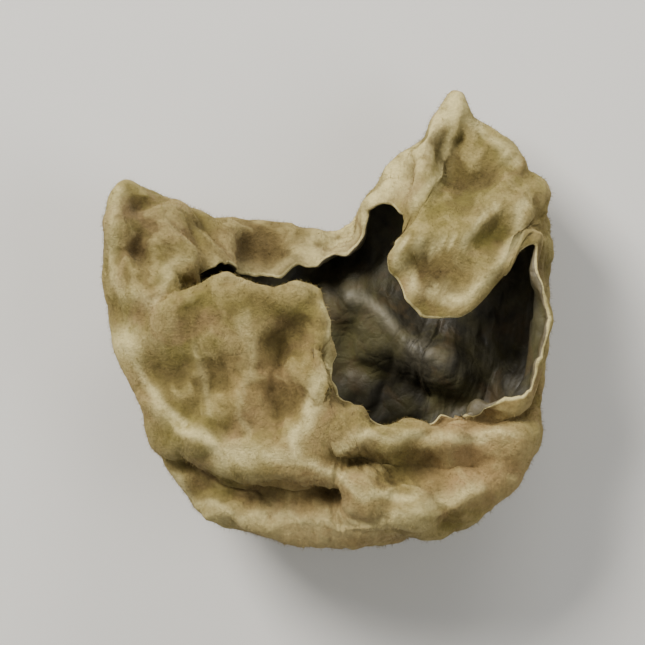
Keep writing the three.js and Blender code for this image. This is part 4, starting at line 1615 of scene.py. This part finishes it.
@dataclass
class FeltDown:
    """The short hairs that stand on the felted side."""

    pieces: int = 4
    first_seed: int = 100
    density: float = 11.0e6
    length: float = 0.17 * MM
    width: float = 0.02 * MM
    lean: float = 0.9
    curve: float = 6.0
    loose: float = 0.45
    lengths: tuple[float, float] = (0.45, 1.3)
    drift_scale: float = 700.0

    def tree(self, material: bpy.types.Material) -> bpy.types.GeometryNodeTree:
        """The node tree that plants the hairs on a skin.

        Args:
            material: The hairs' finish.

        Returns:
            The tree, with the density, length, width, lean and seed as inputs.
        """
        graph = Graph(bpy.data.node_groups.new("plant_hairs", "GeometryNodeTree"))
        face = graph.tree.interface
        face.new_socket("Skin", in_out="INPUT", socket_type="NodeSocketGeometry")
        for name in ("Density", "Length", "Width", "Lean"):
            face.new_socket(name, in_out="INPUT", socket_type="NodeSocketFloat")
        face.new_socket("Seed", in_out="INPUT", socket_type="NodeSocketInt")
        face.new_socket("Hairs", in_out="OUTPUT", socket_type="NodeSocketGeometry")
        given = graph.node("NodeGroupInput", {}, {}).outputs
        skin, density, length, width, lean, seed = (Wire(graph.tree, socket) for socket in given[:6])
        down = graph.wire("GeometryNodeInputNamedAttribute", {"data_type": "FLOAT"}, {"Name": "down"})
        planted = graph.node(
            "GeometryNodeDistributePointsOnFaces", {"distribute_method": "RANDOM"},
            {"Mesh": skin, "Density": density * down, "Seed": seed},
        )
        points = Wire(graph.tree, planted.outputs["Points"])
        upright = Wire(graph.tree, planted.outputs["Normal"])
        tilt = graph.vector("ADD", {0: self.swept(graph, lean), 1: self.strewn(graph, seed)})
        aim = graph.vector("ADD", {0: upright, 1: tilt})
        stood = graph.wire("FunctionNodeAlignRotationToVector", {"axis": "Z"}, {"Vector": aim})
        angle = self.chosen(graph, 0.0, 2 * math.pi, seed)
        about = graph.wire("FunctionNodeAxisAngleToRotation", {}, {"Axis": (0, 0, 1), "Angle": angle})
        turned = graph.wire("FunctionNodeRotateRotation", {"rotation_space": "LOCAL"}, {0: stood, 1: about})
        tall = length * self.chosen(graph, *self.lengths, seed)
        size = graph.wire("ShaderNodeCombineXYZ", {}, {0: width, 1: width, 2: tall})
        hairs = graph.wire(
            "GeometryNodeInstanceOnPoints", {},
            {"Points": points, "Instance": self.hair(graph), "Rotation": turned, "Scale": size},
        )
        real = graph.wire("GeometryNodeRealizeInstances", {}, {0: hairs})
        dressed = graph.wire("GeometryNodeSetMaterial", {}, {"Geometry": real, "Material": material})
        graph.node("NodeGroupOutput", {}, {0: dressed})
        return graph.tree

    def hair(self, graph: Graph) -> Wire:
        """One hair, a thin three-sided cone of height 1 that curves over.

        Args:
            graph: The node tree.

        Returns:
            Its mesh.
        """
        cone = graph.wire(
            "GeometryNodeMeshCone", {"fill_type": "NONE"},
            {"Vertices": 3, "Side Segments": 2, "Radius Top": 0.0, "Radius Bottom": 0.5, "Depth": 1.0},
        )
        place = graph.wire("GeometryNodeInputPosition", {}, {})
        height = graph.wire("ShaderNodeSeparateXYZ", {}, {0: place}, 2)
        over = graph.wire("ShaderNodeCombineXYZ", {}, {0: self.curve * height**2.0})
        return graph.wire("GeometryNodeSetPosition", {}, {"Geometry": cone, "Offset": over})

    def swept(self, graph: Graph, lean: Wire) -> Wire:
        """How far the down is swept over at each place, the same way as its neighbours.

        Args:
            graph: The node tree.
            lean: How strongly.

        Returns:
            A vector.
        """
        drift = graph.wire("ShaderNodeTexNoise", {}, {"Scale": self.drift_scale, "Detail": 1.0}, "Color")
        centred = graph.vector("SUBTRACT", {0: drift, 1: (0.5,) * 3})
        return graph.vector("SCALE", {0: centred, "Scale": lean})

    def strewn(self, graph: Graph, seed: Wire) -> Wire:
        """How far each hair leans on its own, as a vector."""
        sockets = {0: (-self.loose,) * 3, 1: (self.loose,) * 3, "Seed": seed}
        return graph.wire("FunctionNodeRandomValue", {"data_type": "FLOAT_VECTOR"}, sockets)

    @staticmethod
    def chosen(graph: Graph, low: float, high: float, seed: Wire) -> Wire:
        """A number from low to high, picked at random for each hair."""
        sockets = {2: low, 3: high, "Seed": seed}
        return graph.wire("FunctionNodeRandomValue", {"data_type": "FLOAT"}, sockets, 1)

    def build(self, skin: bpy.types.Object) -> list[bpy.types.Object]:
        """Plants the hairs on the skin.

        Args:
            skin: The ear's skin.

        Returns:
            The pieces, each a plain mesh.
        """
        tree = self.tree(Down().material())
        inputs = {item.name: item.identifier for item in tree.interface.items_tree if item.in_out == "INPUT"}
        sizes = {"Density": self.density, "Length": self.length, "Width": self.width, "Lean": self.lean}
        made = []
        for number in range(self.pieces):
            modifier = skin.modifiers.new("hairs", "NODES")
            modifier.node_group = tree
            for name, value in {**sizes, "Seed": self.first_seed + number}.items():
                modifier[inputs[name]] = value
            seen = skin.evaluated_get(bpy.context.evaluated_depsgraph_get())
            mesh = bpy.data.meshes.new_from_object(seen)
            skin.modifiers.remove(modifier)
            mesh.name = f"felt_hairs_{number + 1}"
            made.append(placed(mesh.name, mesh))
        return made


@dataclass(frozen=True)
class Lamp:
    """A square soft light that points at the ear: where it hangs and its side in metres, and its power."""

    name: str
    at: Point
    side: float
    watts: float
    colour: Point


@dataclass
class Studio:
    """The pale floor, the soft lights and the camera that looks straight down on the ear."""

    target: Point = (-0.4 * MM, 4.4 * MM, 5.0 * MM)
    lens: float = 250.0
    width: float = 30.5 * MM
    clip: tuple[float, float] = (0.01, 10.0)
    floor_reach: float = 1.2
    floor_level: float = -0.02 * MM
    floor_tints: tuple[Tint, Tint] = (tint(226, 224, 219), tint(220, 218, 213))
    floor_blobs: Blobs = Blobs(9.0, 3)
    floor_rough: float = 0.8
    sky: Tint = (0.9, 0.9, 0.88, 1.0)
    sky_strength: float = 0.27
    lamps: tuple[Lamp, ...] = (
        Lamp("key", (-0.17, 0.18, 0.2), 0.12, 1.48, (1.0, 0.97, 0.92)),
        Lamp("fill", (0.24, -0.05, 0.2), 0.2, 0.35, (0.97, 0.98, 0.97)),
        Lamp("rim_light", (0.05, 0.25, 0.08), 0.1, 0.4, (1.0, 1.0, 1.0)),
    )

    def floor(self) -> None:
        """Lays the floor."""
        mesh = bpy.data.meshes.new("floor")
        corners = [(-1, -1), (1, -1), (1, 1), (-1, 1)]
        points = [(x * self.floor_reach, y * self.floor_reach, self.floor_level) for x, y in corners]
        mesh.from_pydata(points, [], [(0, 1, 2, 3)])
        finish = Finish("floor")
        tone = finish.mix(*self.floor_tints, finish.noise(self.floor_blobs))
        mesh.materials.append(finish.surface({"Base Color": tone}, {"Roughness": self.floor_rough}))
        floor = placed("floor", mesh)

    def hang(self, lamp: Lamp) -> None:
        """Hangs one light.

        Args:
            lamp: Its numbers.
        """
        light = bpy.data.lights.new(lamp.name, "AREA")
        light.size = lamp.side
        light.energy = lamp.watts
        light.color = lamp.colour
        hung = placed(lamp.name, light)
        hung.location = lamp.at
        hung.rotation_euler = (Vector(self.target) - Vector(lamp.at)).to_track_quat("-Z", "Y").to_euler()

    def light(self) -> None:
        """Hangs the lights and sets the world's soft light."""
        for lamp in self.lamps:
            self.hang(lamp)
        world = bpy.data.worlds.new("studio")
        bpy.context.scene.world = world
        world.use_nodes = True
        inputs = world.node_tree.nodes["Background"].inputs
        inputs["Color"].default_value = self.sky
        inputs["Strength"].default_value = self.sky_strength

    def camera(self) -> None:
        """Sets the camera above the target, as far off as the width in view asks."""
        camera = bpy.data.cameras.new("camera")
        camera.lens = self.lens
        camera.clip_start, camera.clip_end = self.clip
        held = placed("camera", camera)
        distance = self.width * self.lens / camera.sensor_width
        held.location = (self.target[0], self.target[1], self.target[2] + distance)
        bpy.context.scene.camera = held

    def build(self) -> None:
        """Makes the whole set."""
        self.floor()
        self.light()
        self.camera()


def main() -> None:
    """Builds the studio, the ear's skin and its hairs, and hands each piece to the part's body."""
    logging.basicConfig(level=logging.INFO, format="%(message)s")
    Studio().build()
    skin = EarSkin().build()
    pieces = [skin, *FeltDown().build(skin)]
    for piece in pieces:
        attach(piece, "root")
        piece.data.calc_loop_triangles()
        log.info("%s: %d triangles", piece.name, len(piece.data.loop_triangles))
    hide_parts("ear")


if __name__ == "__main__":
    main()
